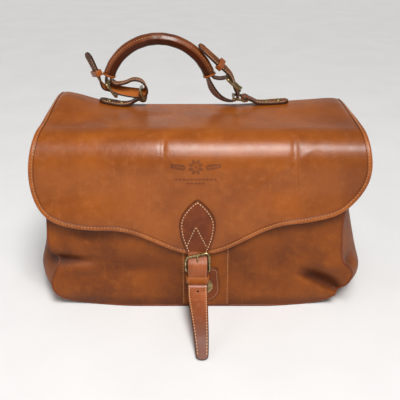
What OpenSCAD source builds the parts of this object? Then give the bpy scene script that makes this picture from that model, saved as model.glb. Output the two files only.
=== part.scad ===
// Leather satchel: a soft gusseted bag under one full-width flap, with a false-buckle
// closure over a press snap and a rolled handle buckled to two rings on the ridge.
// The bag stands on z = 0. +X is the wearer's right of the front view, the front faces -Y,
// and the origin is the middle of the base.

/* [Bag] */
// Half width of the front and back panels at the seam
panel_half = 180; // [172:1:182]
// Radius of the panels' lower corners
corner_r = 50; // [40:1:60]
// Distance of the front panel from the middle of the base
front_depth = 76.9; // [74:0.1:80]
// Distance of the back panel from the middle of the base
back_depth = 73.4; // [70:0.1:73.4]
// Thickness of the body leather
leather = 2.4; // [1.8:0.1:2.4]
// Half width of the bag across the bulge of its gussets
bulge_half = 209; // [200:1:212]
// Height of the ridge
ridge_z = 227; // [226:0.5:227]

/* [Flap] */
// Half width of the flap at its widest
flap_half = 201; // [196:1:204]
// Height of the flap's lowest point
flap_low = 79; // [79:0.5:80]
// Width of the bound edge
binding_w = 6; // [4:0.5:8]

/* [Closure] */
// Sideways place of the closing strap
closure_x = -3; // [-6:0.5:6]
// Width of the closing strap
strap_w = 25; // [22:0.5:26]
// Diameter of the snap's brass boss
snap_d = 18; // [14:1:20]

/* [Handle] */
// Sideways place of the middle of the handle's rings
handle_x = -8; // [-10:1:-6]
// Diameter of the rolled grip
grip_d = 16; // [14:0.5:16]
// Radius of the grip's arch
grip_r = 69; // [68:0.5:70]
// Width of the handle's straps
handle_strap_w = 16; // [14:0.5:17]

/* [Hidden] */
$fn = 48;
LINING = 1.0;
SLIT = 0.4;

// Leaning front: straight up to LEAN_Z, leaning back above it, tucked in near the floor
LEAN_Z = 90;
LEAN = 0.07;
TUCK = 9;
TUCK_Z = 30;
TUCK_STEP = 3;
function tuck_at(z) = z < TUCK_Z ? TUCK * pow(1 - z / TUCK_Z, 2) : 0;
function tuck(z) = let(low = TUCK_STEP * floor(z / TUCK_STEP))
    tuck_at(low) + (tuck_at(low + TUCK_STEP) - tuck_at(low)) * (z - low) / TUCK_STEP;
function front_y(z) = -front_depth + LEAN * max(0, z - LEAN_Z) + tuck(z);
function back_y(z) = back_depth - tuck(z);

// Flap leather, measured at the middle of its thickness
FLAP_T = 2.6;
FLAP_LINING_T = 0.7;
FLAP_FRONT = front_depth + 3.1;
HINGE_Y = 30;
HINGE_Z = ridge_z - FLAP_T / 2;
BEND_R = 36;
BEND_Z = HINGE_Z - BEND_R;
BEND_Y = -FLAP_FRONT + LEAN * (BEND_Z - LEAN_Z) + BEND_R;

// Closure, from the panel outwards
BAND_W = 56;
BAND_X = 6;
BAND_T = 1.0;
PATCH_T = 1.6;
SNAP_Z = 33;
SNAP_PLATE_T = 0.9;
SNAP_BOSS_T = 2.2;
snap_y = -front_depth - BAND_T - PATCH_T;
HEEL = [-87, 59];
FAR_BAR = [-86.6, 82];
BAR_R = 1.5;
TAIL_PIVOT = [-92, 43.9];

// Handle: the grip is part of a circle in the plane y = HANDLE_Y
HANDLE_Y = 60;
TILT_Z = 237;
GRIP_MID = [handle_x - 45, 245.5];
GRIP_END = 18;
RING_SPAN = 65;
RING_LEN = 13;
STRAP_T = 2.6;
ring_in = handle_strap_w / 2 + 1.5;

TAN = [0.66, 0.38, 0.2];
BROWN = [0.45, 0.22, 0.1];
BRASS = [0.62, 0.54, 0.34];
CLOTH = [0.55, 0.47, 0.36];

// ---- curves ----

// Points on an arc, from one angle to another
function arc(mid, r, a0, a1, n) =
    [for (i = [0 : n]) let(a = a0 + (a1 - a0) * i / n) mid + r * [cos(a), sin(a)]];

// One point of a smooth curve through p1 and p2
function curve_point(p0, p1, p2, p3, t) =
    0.5 * (2 * p1 + (p2 - p0) * t + (2 * p0 - 5 * p1 + 4 * p2 - p3) * t * t
    + (3 * p1 - p0 - 3 * p2 + p3) * t * t * t);

// A smooth curve through all the points, with n steps between each two
function smooth(p, n) = let(last = len(p) - 1) concat(
    [for (i = [0 : last - 1]) for (k = [0 : n - 1])
        curve_point(p[max(0, i - 1)], p[i], p[i + 1], p[min(last, i + 2)], k / n)],
    [p[last]]);

function unit(v) = v / norm(v);
function tangent(p, i) = unit(p[min(len(p) - 1, i + 1)] - p[max(0, i - 1)]);
function side(p, d) = [for (i = [0 : len(p) - 1]) let(t = tangent(p, i)) p[i] + d * [-t[1], t[0]]];
function reversed(p) = [for (i = [len(p) - 1 : -1 : 0]) p[i]];

// A band of leather seen on edge: the space between two offsets of a path
module ribbon(path, d0, d1) {
    polygon(concat(side(path, d0), reversed(side(path, d1))));
}

// Carries a drawing in (y, z) along X, a drawing in (x, z) along Y, or one in (x, y) along Z
module along_x(w) { rotate([90, 0, 90]) linear_extrude(w, center = true) children(); }
module along_y(w) { rotate([90, 0, 0]) linear_extrude(w, center = true) children(); }
module in_handle_plane(w) { translate([0, HANDLE_Y, 0]) along_y(w) children(); }

// A bar along X or Y through a point of the side view
module bar_x(r, p, w) { translate([closure_x, p[0], p[1]]) rotate([0, 90, 0]) cylinder(r = r, h = w, center = true); }
module bar_y(r, p, w) { translate([p[0], HANDLE_Y, p[1]]) rotate([90, 0, 0]) cylinder(r = r, h = w, center = true); }

// ---- outlines ----

// Heights shared by every sheet that lies on a panel, so that their facets match
function heights(z0, z1) = concat([z0],
    [for (z = [TUCK_STEP : TUCK_STEP : TUCK_Z]) if (z > z0 && z < z1) z],
    z1 > LEAN_Z ? [LEAN_Z, z1] : [z1]);

// Side view of a sheet lying d0 to d1 outside the front panel's face
module front_sheet(z0, z1, d0, d1) {
    zs = heights(z0, z1);
    polygon(concat([for (z = zs) [front_y(z) - d0, z]], reversed([for (z = zs) [front_y(z) - d1, z]])));
}
module back_sheet(z0, z1, d0, d1) {
    zs = heights(z0, z1);
    polygon(concat([for (z = zs) [back_y(z) + d0, z]], reversed([for (z = zs) [back_y(z) + d1, z]])));
}

// Front view of a panel with round lower corners, drawn in by an inset
PANEL_LOW = 0.6;
module panel_outline(top, inset = 0) {
    half = panel_half - inset;
    r = corner_r - inset;
    low = PANEL_LOW + inset;
    polygon(concat(arc([half - r, low + r], r, -90, 0, 12), [[half, top], [-half, top]],
        arc([r - half, low + r], r, 180, 270, 12)));
}

// Front view of the gussets' bulge
GUSSET_TOP = 212;
BULGE_R = 38;
TOP_HALF = 178;
function gusset_half(z) =
    TOP_HALF + (bulge_half - TOP_HALF) * pow(1 - (z - BULGE_R) / (GUSSET_TOP - BULGE_R), 1.3);
module bulge_outline(inset) {
    r = BULGE_R - inset;
    mid = bulge_half - BULGE_R;
    right = concat(arc([mid, BULGE_R], r, -90, 0, 10),
        [for (i = [1 : 10]) let(z = BULGE_R + (GUSSET_TOP - BULGE_R) * i / 10) [gusset_half(z) - inset, z]]);
    polygon(concat(right, reversed([for (p = right) [-p[0], p[1]]])));
}

// Top view of the gussets' bulge between the two panels
module plan_outline(inset) {
    n = 12;
    ys = [for (i = [0 : n]) -front_depth + (front_depth + back_depth) * i / n];
    mid = (back_depth - front_depth) / 2;
    reach = (front_depth + back_depth) / 2;
    right = [for (y = ys) [panel_half + (bulge_half - panel_half) * (1 - pow((y - mid) / reach, 2)) - inset, y]];
    polygon(concat(right, reversed([for (p = right) [-p[0], p[1]]])));
}

module bag_solid(inset) {
    intersection() {
        along_y(400) bulge_outline(inset);
        linear_extrude(GUSSET_TOP + 10) plan_outline(inset);
    }
}

// Side view of the space between the two panels
module between_panels(gap, top_front, top) {
    zs = heights(0, top_front);
    polygon(concat([for (z = zs) [front_y(z) + gap, z]], [[-50, top], [back_y(top) - gap, top]],
        reversed([for (z = heights(0, top - 4)) [back_y(z) - gap, z]])));
}

// The flap's front view: straight flaring sides, round corners and a double-curved lower edge
FLAP_CORNER_R = 32;
FLAP_CORNER_Z = 165;
SCALLOP = 42;
SCALLOP_HALF = 115;
CORNER_LIFT = 10;
function edge_z(x) = flap_low + (x < SCALLOP_HALF
    ? SCALLOP * (1 - cos(180 * x / SCALLOP_HALF)) / 2
    : SCALLOP + CORNER_LIFT * pow((x - SCALLOP_HALF) / (flap_half - FLAP_CORNER_R - SCALLOP_HALF), 1.6));
module flap_outline(inset) {
    corner = [flap_half - FLAP_CORNER_R, FLAP_CORNER_Z];
    right = concat([for (i = [0 : 22]) let(x = (corner[0] - 4) * i / 22) [x, edge_z(x) + inset]],
        arc(corner, FLAP_CORNER_R - inset, -78, 0, 9),
        [for (i = [0 : 5]) let(z = 185 + 47 * i / 5) [flap_half - inset - 10 * pow(i / 5, 1.3), z]],
        [[flap_half - inset - 10, 250]]);
    left = [for (p = right) if (p[0] > 0) [-p[0], p[1]]];
    polygon(concat(right, reversed(left)));
}

// The flap's top view: it narrows towards the ridge
module flap_plan(inset) {
    back = flap_half - 19 - inset;
    front = flap_half - 10 - inset;
    polygon([[front, BEND_Y], [back, HINGE_Y + 9], [-back, HINGE_Y + 9], [-front, BEND_Y],
        [-flap_half - 9, BEND_Y - 3], [-flap_half - 9, -130], [flap_half + 9, -130], [flap_half + 9, BEND_Y - 3]]);
}

FLAP_PATH = concat([[HINGE_Y, HINGE_Z]], arc([BEND_Y, BEND_Z], BEND_R, 90, 180, 14),
    [[-FLAP_FRONT, LEAN_Z], [-FLAP_FRONT, 60]]);

// A layer of the flap between two depths below the middle of its leather
module flap_layer(d0, d1, inset = 0) {
    intersection() {
        along_x(450) ribbon(FLAP_PATH, d0, d1);
        along_y(400) flap_outline(inset);
        linear_extrude(260) flap_plan(inset);
    }
}

// ---- bag body ----

module front_panel() {
    color(TAN) intersection() {
        along_x(400) front_sheet(PANEL_LOW, 194, -leather, 0);
        along_y(400) panel_outline(194);
    }
}

module back_panel() {
    color(TAN) intersection() {
        along_x(400) back_sheet(PANEL_LOW, 212, -leather, 0);
        along_y(400) panel_outline(212);
    }
}

BASE_HALF = 160;
module gusset_ring() {
    intersection() {
        difference() {
            bag_solid(0);
            bag_solid(leather);
        }
        along_x(460) between_panels(leather, 194, GUSSET_TOP);
    }
}

module left_gusset() {
    color(TAN) intersection() {
        gusset_ring();
        translate([-BASE_HALF - 60, 0, 110]) cube([120, 200, 240], center = true);
    }
}

module right_gusset() {
    color(TAN) intersection() {
        gusset_ring();
        translate([BASE_HALF + 60, 0, 110]) cube([120, 200, 240], center = true);
    }
}

module base_panel() {
    color(TAN) intersection() {
        gusset_ring();
        translate([0, 0, 5]) cube([2 * BASE_HALF, 200, 20], center = true);
    }
}

module base_board() {
    color(CLOTH) translate([0, -1, leather + 1.3]) cube([2 * BASE_HALF - 12, 122, 2.4], center = true);
}

PIPING_W = 3.2;
module piping_ring(top) {
    difference() {
        intersection() {
            panel_outline(top, -PIPING_W);
            translate([-300, PANEL_LOW - 0.4]) square([600, 300]);
        }
        panel_outline(top + 1);
    }
}

module front_piping() {
    color(BROWN) intersection() {
        along_x(400) front_sheet(0.2, 194, -leather + 0.1, 0.8);
        along_y(400) piping_ring(194);
    }
}

module back_piping() {
    color(BROWN) intersection() {
        along_x(400) back_sheet(0.2, 190, -leather + 0.1, 0.8);
        along_y(400) piping_ring(190);
    }
}

module front_rim() {
    color(BROWN) translate([0, front_y(194) + leather / 2, 195.1]) cube([2 * panel_half - 4, leather, 2], center = true);
}

YOKE_FLAT = 66;
YOKE_BEND = 10;
YOKE_HALF = 182;
yoke_front = HINGE_Y + FLAP_T / 2 + SLIT + 0.2;
CHAPE_HOLES = [-112, -96, 96, 112];
module rivet_holes() {
    for (x = CHAPE_HOLES) translate([x + handle_x, HANDLE_Y, 200]) cylinder(r = 2, h = 60);
}

module top_yoke() {
    path = concat([[yoke_front, HINGE_Z]],
        arc([YOKE_FLAT, HINGE_Z - YOKE_BEND + 1.3], YOKE_BEND - 1.3, 90, 0, 8), [[YOKE_FLAT + YOKE_BEND - 1.3, 192]]);
    color(TAN) difference() {
        along_x(2 * YOKE_HALF) ribbon(path, -1.2, 1.3);
        rivet_holes();
    }
}

module ridge_bar() {
    color(CLOTH) difference() {
        translate([0, 54, ridge_z - 5]) cube([2 * YOKE_HALF - 40, 22, 4], center = true);
        rivet_holes();
    }
}

module centre_band() {
    color(TAN) translate([BAND_X, 0, 0]) along_x(BAND_W) front_sheet(4, 150, 0.02, BAND_T);
}

module lock_patch() {
    color(BROWN) intersection() {
        along_x(200) front_sheet(8, 62, BAND_T, BAND_T + PATCH_T);
        translate([BAND_X - 1, 0, 0]) along_y(300) union() {
            translate([-17, 29]) square([34, 29]);
            translate([0, 29]) circle(r = 20);
        }
    }
}

module snap_disc(r, y0, y1) {
    translate([closure_x + 3, y0, SNAP_Z]) rotate([90, 0, 0]) cylinder(r = r, h = y0 - y1);
}

module snap_plate() {
    color(BRASS) difference() {
        union() {
            snap_disc(10.5, snap_y, snap_y - SNAP_PLATE_T);
            translate([closure_x + 3, snap_y - SNAP_PLATE_T / 2, SNAP_Z]) cube([32, SNAP_PLATE_T, 12], center = true);
        }
        for (s = [-1, 1]) translate([12.8 * s, 0, 0]) snap_disc(1, snap_y + 1, snap_y - 2);
    }
}

module snap_boss() {
    face = snap_y - SNAP_PLATE_T;
    color(BRASS) difference() {
        snap_disc(snap_d / 2, face, face - SNAP_BOSS_T);
        snap_disc(5, face - 0.7, face - SNAP_BOSS_T - 1);
    }
}

module front_lining() {
    color(CLOTH) intersection() {
        along_x(400) front_sheet(6, 190, -leather - LINING - 0.1, -leather - 0.1);
        along_y(400) panel_outline(190, 5);
    }
}

module back_lining() {
    color(CLOTH) intersection() {
        along_x(400) back_sheet(6, 208, -leather - LINING - 0.1, -leather - 0.1);
        along_y(400) panel_outline(208, 5);
    }
}

module divider() {
    color(CLOTH) intersection() {
        bag_solid(leather + 0.1);
        translate([0, 0, 85]) cube([460, 1.6, 158], center = true);
    }
}

module inner_pocket() {
    face = back_depth - leather - LINING - 0.1;
    color(CLOTH) translate([0, face - 0.8, 115]) cube([200, 1.4, 110], center = true);
}

// ---- handle mountings on the ridge ----

// Side -1 is the left end and +1 the right end of the handle
function ring_x(s) = handle_x + s * RING_SPAN;
CHAPE_T = 4;
CHAPE_OUT = 59;
module chape(s) {
    path = smooth([[CHAPE_OUT, 229.2], [28, 229.2], [19, 230.7], [12, 234.6], [6.8, TILT_Z]], 4);
    color(BROWN) difference() {
        in_handle_plane(handle_strap_w) ribbon([for (p = path) [ring_x(s) + s * p[0], p[1]]], -CHAPE_T / 2, CHAPE_T / 2);
        rivet_holes();
    }
}
module left_chape() { chape(-1); }
module right_chape() { chape(1); }

module chape_rivets() {
    color(BRASS) for (x = CHAPE_HOLES) translate([x + handle_x, HANDLE_Y, 0]) {
        translate([0, 0, ridge_z - 8]) cylinder(r = 1.95, h = 12.3);
        translate([0, 0, 231.25]) cylinder(r = 4, h = 1.2);
    }
}

// The free end of a chape, round the ring's bar, with a round neck on the axis that it twists about
LOOP_T = 2.0;
NECK_R = 3;
module chape_loop(s) {
    c = [ring_x(s), TILT_Z];
    color(BROWN) difference() {
        union() {
            bar_y(BAR_R + LOOP_T + 0.1, c, handle_strap_w);
            translate([c[0] + s * 3.6, HANDLE_Y, c[1]]) cube([4.2, handle_strap_w, CHAPE_T], center = true);
            translate([c[0] + s * 3.6, HANDLE_Y, c[1]]) rotate([0, 90, 0]) cylinder(r = NECK_R, h = 4.2, center = true);
        }
        bar_y(BAR_R + 0.08, c, 60);
    }
}
module left_chape_loop() { chape_loop(-1); }
module right_chape_loop() { chape_loop(1); }

// A frame with one round bar at p and a flat-sided loop reaching to q
module loop_frame(p, q, half, wire) {
    len = norm(q - p);
    turn = atan2(q[1] - p[1], q[0] - p[0]);
    bar_y(BAR_R, p, 2 * half + wire);
    translate([p[0], HANDLE_Y, p[1]]) rotate([0, -turn, 0]) linear_extrude(wire, center = true) difference() {
        translate([0, -half - wire]) square([len + wire / 2, 2 * half + 2 * wire]);
        translate([-1, -half]) square([len + 1 - wire / 2, 2 * half]);
    }
}

RING_TURN = [112, 173];
function ring_far(s) = let(a = RING_TURN[s < 0 ? 0 : 1]) [ring_x(s), TILT_Z] + RING_LEN * [cos(a), sin(a)];
module left_ring() { color(BRASS) loop_frame([ring_x(-1), TILT_Z], ring_far(-1), ring_in, 3); }
module right_ring() { color(BRASS) loop_frame([ring_x(1), TILT_Z], ring_far(1), ring_in, 3); }

// ---- handle ----

module grip(r, hollow) {
    translate([GRIP_MID[0], HANDLE_Y, GRIP_MID[1]]) rotate([90, 0, 0]) rotate([0, 0, GRIP_END])
        rotate_extrude(angle = 180 - 2 * GRIP_END, $fn = 96) translate([grip_r, 0]) difference() {
            circle(r = r);
            if (hollow > 0) circle(r = hollow);
        }
}
module handle_core() { color(CLOTH) grip(5.4, 0); }
module handle_cover() { color(BROWN) grip(grip_d / 2, 5.5); }

// Long straps: out of the grip, through the ring, through the buckle and on to the tip
LEFT_STRAP = [[-115.8, 265.4], [-115, 260], [-109, 256.5], [-98, 258], [-87, 262], [-77, 260], [-71.5, 253],
    [-71.5, 246], [-76, 243.2], [-84, 243.6], [-95, 245], [-105, 247], [-112, 249.3], [-118.5, 250.6],
    [-125.5, 251.6], [-129.8, 257.5], [-133, 266], [-139, 281], [-146, 297]];
RIGHT_STRAP = [[9.8, 265.4], [12.5, 258], [17, 248], [24, 240], [33, 234.6], [42, 232.9], [48, 234.8],
    [50.2, 240], [49, 245.5], [46.5, 250.5], [44.3, 257], [42.3, 263], [38.8, 269.6], [32, 276.6],
    [22, 285.8], [10, 296.8], [-1.5, 307.3]];
LEFT_HEEL = [-122, 258.5];
LEFT_FAR = [-109.5, 241];
RIGHT_HEEL = [35, 265];
RIGHT_FAR = [52, 249];
PRONG_R = 1.1;
SLOT_LEN = 15;

// The opening for the prong, a slot in the strap round the line from heel to far bar
module prong_slot(heel, far, out) {
    turn = atan2(far[1] - heel[1], far[0] - heel[0]);
    translate([heel[0], HANDLE_Y, heel[1]]) rotate([0, -turn, 0])
        translate([SLOT_LEN / 2 + 1, 0, out * 6]) cube([SLOT_LEN + 4, 3.4, 18], center = true);
}

module left_handle_strap() {
    color(BROWN) difference() {
        in_handle_plane(handle_strap_w) ribbon(smooth(LEFT_STRAP, 3), -STRAP_T / 2, STRAP_T / 2);
        prong_slot(LEFT_HEEL, LEFT_FAR, -1);
    }
}
module right_handle_strap() {
    color(BROWN) difference() {
        in_handle_plane(handle_strap_w) ribbon(smooth(RIGHT_STRAP, 3), -STRAP_T / 2, STRAP_T / 2);
        prong_slot(RIGHT_HEEL, RIGHT_FAR, 1);
    }
}

module left_handle_buckle() { color(BRASS) loop_frame(LEFT_HEEL, LEFT_FAR, ring_in, 2.6); }
module right_handle_buckle() { color(BRASS) loop_frame(RIGHT_HEEL, RIGHT_FAR, ring_in, 2.6); }

// A prong that turns on the heel bar and rests on the outer side of the far bar
KNUCKLE_R = 2.7;
module handle_prong(heel, far, out) {
    reach = norm(far - heel);
    turn = atan2(far[1] - heel[1], far[0] - heel[0]);
    rise = BAR_R + PRONG_R + 0.2;
    lean = atan2(out * rise, reach);
    color(BRASS) difference() {
        union() {
            bar_y(KNUCKLE_R, heel, 3);
            translate([heel[0], HANDLE_Y, heel[1]]) rotate([0, 90 - turn - lean, 0]) cylinder(r = PRONG_R, h = reach + 2);
        }
        bar_y(BAR_R + 0.07, heel, 20);
    }
}
module left_handle_prong() { handle_prong(LEFT_HEEL, LEFT_FAR, -1); }
module right_handle_prong() { handle_prong(RIGHT_HEEL, RIGHT_FAR, 1); }

// The short tab that holds each buckle at the end of the grip
module buckle_tab(path, heel) {
    color(BROWN) difference() {
        union() {
            in_handle_plane(handle_strap_w) ribbon(smooth(path, 3), -1.1, 1.1);
            bar_y(BAR_R + LOOP_T + 0.1, heel, handle_strap_w);
        }
        bar_y(BAR_R + 0.08, heel, 60);
        bar_y(BAR_R + LOOP_T + 1, heel, 4);
    }
}
module left_buckle_tab() { buckle_tab([[-121.6, 266.9], [-122.4, 264.4], [-122.4, 260.6]], LEFT_HEEL); }
module right_buckle_tab() { buckle_tab([[15.8, 267.1], [19, 264.6], [26, 263.4], [32.8, 264.4]], RIGHT_HEEL); }

// A leather loop round a strap at p, with the strap running along the angle a
module keeper(p, a, w) {
    color(BROWN) translate([p[0], HANDLE_Y, p[1]]) rotate([0, -a, 0]) difference() {
        cube([w, handle_strap_w + 3.6, STRAP_T + 4.2], center = true);
        cube([w + 2, handle_strap_w + 0.4, STRAP_T + 0.9], center = true);
    }
}
module left_handle_keeper() { keeper([-134.7, 270.2], 112, 6); }
module right_handle_keeper() { keeper([26.6, 281.5], 137, 6); }

// ---- flap and closure ----

module flap() {
    color(TAN) union() {
        flap_layer(-FLAP_T / 2, FLAP_T / 2);
        translate([0, HINGE_Y, HINGE_Z]) rotate([0, 90, 0])
            cylinder(r = FLAP_T / 2 - 0.05, h = 2 * flap_half - 40, center = true);
    }
}

module flap_lining() {
    color(CLOTH) difference() {
        flap_layer(FLAP_T / 2, FLAP_T / 2 + FLAP_LINING_T, 2);
        translate([0, HINGE_Y, HINGE_Z]) cube([500, 10, 12], center = true);
    }
}

// Front view of the leaf-shaped tab that holds the closing strap
LEAF_TOP = 152;
LEAF_WIDE_Z = 119;
LEAF_LOW = 83.5;
LEAF_HALF = 22;
module leaf_outline() {
    n = 8;
    right = concat(
        [for (i = [0 : n]) let(t = i / n)
            [strap_w / 2 + (LEAF_HALF - strap_w / 2) * sin(90 * t), LEAF_LOW + (LEAF_WIDE_Z - LEAF_LOW) * t]],
        [for (i = [1 : n]) let(t = i / n)
            [LEAF_HALF * pow(cos(90 * t), 0.8), LEAF_WIDE_Z + (LEAF_TOP - LEAF_WIDE_Z) * t]]);
    translate([closure_x, 0]) polygon(concat(right, reversed([for (p = right) [-p[0], p[1]]])));
}

module flap_binding() {
    color(BROWN) difference() {
        flap_layer(-FLAP_T / 2 - 0.9, -FLAP_T / 2);
        along_y(400) flap_outline(binding_w);
        translate([0, HINGE_Y, HINGE_Z]) cube([2 * (flap_half - 19 - binding_w), 300, 12], center = true);
        translate([0, HINGE_Y, HINGE_Z]) cube([500, 10, 12], center = true);
        along_y(400) leaf_outline();
        translate([closure_x, -90, LEAF_LOW]) cube([strap_w + 0.6, 30, 12], center = true);
    }
}

LEAF_T = 2.4;
module leaf_tab() {
    color(BROWN) intersection() {
        along_x(200) ribbon(FLAP_PATH, -FLAP_T / 2 - LEAF_T, -FLAP_T / 2);
        along_y(400) leaf_outline();
    }
}

CLOSING_PATH = smooth([[-82.5, 83.2], [-83.4, 80], [-86.5, 74.5], [-90, 69], [-91.7, 63.5], [-92, 57],
    [-92, 45.5]], 4);
module closing_strap() {
    color(BROWN) difference() {
        translate([closure_x, 0, 0]) along_x(strap_w) ribbon(CLOSING_PATH, -1.2, 1.2);
        translate([closure_x, -90, 67.2]) cube([3.6, 20, 19.6], center = true);
    }
}

// The strap's loose end, from the keeper to its tip on the floor
TAIL_PATH = smooth([[-92.2, 43.6], [-95, 40.2], [-101, 37.8], [-112, 35], [-127, 31], [-143, 25], [-158, 17.6],
    [-173, 9], [-186, 1.8]], 4);
TAIL_TIP_HALF = 6;
module strap_tail() {
    color(BROWN) intersection() {
        translate([closure_x, 0, 0]) union() {
            along_x(strap_w) ribbon(TAIL_PATH, -1.2, 1.2);
            translate([0, TAIL_PIVOT[0], TAIL_PIVOT[1]]) rotate([0, 90, 0])
                cylinder(r = 1.15, h = strap_w, center = true);
        }
        translate([closure_x, 0, -1]) linear_extrude(60) polygon([[-20, -80], [-20, -120], [-11, -150],
            [-TAIL_TIP_HALF, -180], [-TAIL_TIP_HALF + 2, -190], [TAIL_TIP_HALF - 2, -190],
            [TAIL_TIP_HALF, -180], [11, -150], [20, -120], [20, -80]]);
    }
}

FRAME_HALF = 14;
FRAME_WIRE = 2.8;
module closure_buckle() {
    len = norm(FAR_BAR - HEEL);
    turn = atan2(FAR_BAR[1] - HEEL[1], FAR_BAR[0] - HEEL[0]);
    color(BRASS) union() {
        bar_x(BAR_R, HEEL, 2 * FRAME_HALF + FRAME_WIRE);
        translate([closure_x, HEEL[0], HEEL[1]]) rotate([turn, 0, 0]) linear_extrude(FRAME_WIRE, center = true)
            difference() {
                translate([-FRAME_HALF - FRAME_WIRE, 0]) square([2 * (FRAME_HALF + FRAME_WIRE), len + FRAME_WIRE / 2]);
                translate([-FRAME_HALF, -1]) square([2 * FRAME_HALF, len + 1 - FRAME_WIRE / 2]);
            }
    }
}

module closure_prong() {
    tip = FAR_BAR + [-BAR_R - PRONG_R - 0.2, 0];
    turn = atan2(tip[1] - HEEL[1], tip[0] - HEEL[0]);
    color(BRASS) difference() {
        union() {
            bar_x(KNUCKLE_R, HEEL, 3);
            translate([closure_x, HEEL[0], HEEL[1]]) rotate([turn - 90, 0, 0]) cylinder(r = PRONG_R, h = norm(tip - HEEL) + 2);
        }
        bar_x(BAR_R + 0.07, HEEL, 20);
    }
}

// Backing of the strap: it loops round the heel bar above and carries the snap's stud below
CHAPE_PLATE_Y = -86;
module buckle_chape() {
    color(BROWN) difference() {
        union() {
            bar_x(BAR_R + LOOP_T - 0.2, HEEL, strap_w - 1);
            translate([closure_x, CHAPE_PLATE_Y + 1, 0]) along_y(2) union() {
                translate([-strap_w / 2 + 0.5, SNAP_Z]) square([strap_w - 1, HEEL[1] - SNAP_Z - 1]);
                translate([0, SNAP_Z]) circle(r = strap_w / 2 - 0.5);
            }
        }
        bar_x(BAR_R + 0.08, HEEL, 60);
        bar_x(BAR_R + LOOP_T + 1, HEEL, 4);
    }
}

module strap_keeper() {
    color(BROWN) translate([closure_x, -88.55, 50.4]) difference() {
        cube([strap_w + 3.6, 13.1, 8.8], center = true);
        cube([strap_w + 0.4, 9.5, 12], center = true);
    }
}

module snap_stud() {
    face = CHAPE_PLATE_Y + 2;
    color(BRASS) union() {
        snap_disc(8, face + 0.8, face);
        snap_disc(3, face + 2.4, face);
    }
}

front_panel();
back_panel();
left_gusset();
right_gusset();
base_panel();
base_board();
front_piping();
back_piping();
front_rim();
top_yoke();
ridge_bar();
centre_band();
lock_patch();
snap_plate();
snap_boss();
front_lining();
back_lining();
divider();
inner_pocket();
left_chape();
right_chape();
chape_rivets();
flap();
flap_lining();
flap_binding();
leaf_tab();
closing_strap();
strap_tail();
closure_buckle();
closure_prong();
buckle_chape();
strap_keeper();
snap_stud();
handle_core();
handle_cover();
left_handle_strap();
right_handle_strap();
left_handle_buckle();
right_handle_buckle();
left_handle_prong();
right_handle_prong();
left_buckle_tab();
right_buckle_tab();
left_handle_keeper();
right_handle_keeper();
left_chape_loop();
right_chape_loop();
left_ring();
right_ring();
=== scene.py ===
"""Looks of the leather satchel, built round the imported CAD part.

Every piece is worked out in millimetres in the CAD's own frame and put into its mesh in metres.
The bag stands on z = 0, its front faces -Y, and X runs along the flap.
"""
import math

import bpy
import numpy as np
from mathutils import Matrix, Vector


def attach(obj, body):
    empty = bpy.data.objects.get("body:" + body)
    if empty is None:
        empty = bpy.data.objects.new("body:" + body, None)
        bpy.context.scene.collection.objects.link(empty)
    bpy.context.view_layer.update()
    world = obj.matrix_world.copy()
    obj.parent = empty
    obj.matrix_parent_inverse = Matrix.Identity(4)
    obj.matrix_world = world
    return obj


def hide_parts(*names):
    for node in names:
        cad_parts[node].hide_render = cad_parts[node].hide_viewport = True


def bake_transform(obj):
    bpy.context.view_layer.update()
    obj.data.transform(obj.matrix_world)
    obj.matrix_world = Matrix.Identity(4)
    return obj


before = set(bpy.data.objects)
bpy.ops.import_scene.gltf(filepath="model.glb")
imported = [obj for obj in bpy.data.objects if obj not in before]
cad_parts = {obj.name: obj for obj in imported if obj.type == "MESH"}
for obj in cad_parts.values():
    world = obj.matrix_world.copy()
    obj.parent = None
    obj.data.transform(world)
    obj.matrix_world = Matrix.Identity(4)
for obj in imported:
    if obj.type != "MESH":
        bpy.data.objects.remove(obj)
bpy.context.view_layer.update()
MM = 0.001

# ---------------------------------------------------------------- curves


def lengths(path):
    """Distance along a line to each of its points: the running sum of its steps."""
    return np.concatenate([[0.0], np.cumsum(np.linalg.norm(np.diff(path, axis=0), axis=1))])


def even(path, n):
    """The same line with n points at equal distances along it."""
    path = np.asarray(path, float)
    s = lengths(path)
    return np.stack([np.interp(np.linspace(0, s[-1], n), s, c) for c in path.T], 1)


def smooth(points, n=8):
    """A curve through all the points: in each span the cubic whose end slopes are half the chord of the neighbours."""
    p = np.asarray(points, float)
    q = np.vstack([p[:1], p, p[-1:]])
    t = np.linspace(0, 1, n, endpoint=False)[None, :, None]
    a, b, c, d = (q[i:len(q) - 3 + i, None, :] for i in range(4))
    spans = 0.5 * (2 * b + (c - a) * t + (2 * a - 5 * b + 4 * c - d) * t**2 + (3 * b - a - 3 * c + d) * t**3)
    return np.vstack([spans.reshape(-1, p.shape[1]), p[-1:]])


def arc(mid, r, a0, a1, n):
    """Points of a circle about mid, from angle a0 to a1 in degrees."""
    a = np.radians(np.linspace(a0, a1, n))
    return np.stack([mid[0] + r * np.cos(a), mid[1] + r * np.sin(a)], 1)


def unit(v):
    """A vector divided by its length."""
    return v / np.maximum(np.linalg.norm(v, axis=-1, keepdims=True), 1e-12)


def tangents(path, closed=False):
    """Direction at each point: the chord between its two neighbours."""
    if closed:
        return unit(np.roll(path, -1, 0) - np.roll(path, 1, 0))
    return unit(np.gradient(path, axis=0))


def even_outline(points, n):
    """A closed outline's n points at equal distances, without repeating the first."""
    return even(np.vstack([points, points[:1]]), n + 1)[:-1]


def turned_in(path, towards, loose=True):
    """Unit normals of a flat line, all on the one side that faces a point."""
    t = tangents(path, not loose)
    n = np.stack([-t[:, 1], t[:, 0]], 1)
    return n * np.sign(np.sum(n * (towards - path)))


def averaged(line, k, **pad):
    """Each point of a line replaced by the mean of itself and its k neighbours on both sides."""
    n = 2 * k + 1
    return np.stack([np.convolve(np.pad(c, k, **pad), np.ones(n) / n, "valid") for c in line.T], 1)


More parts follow.
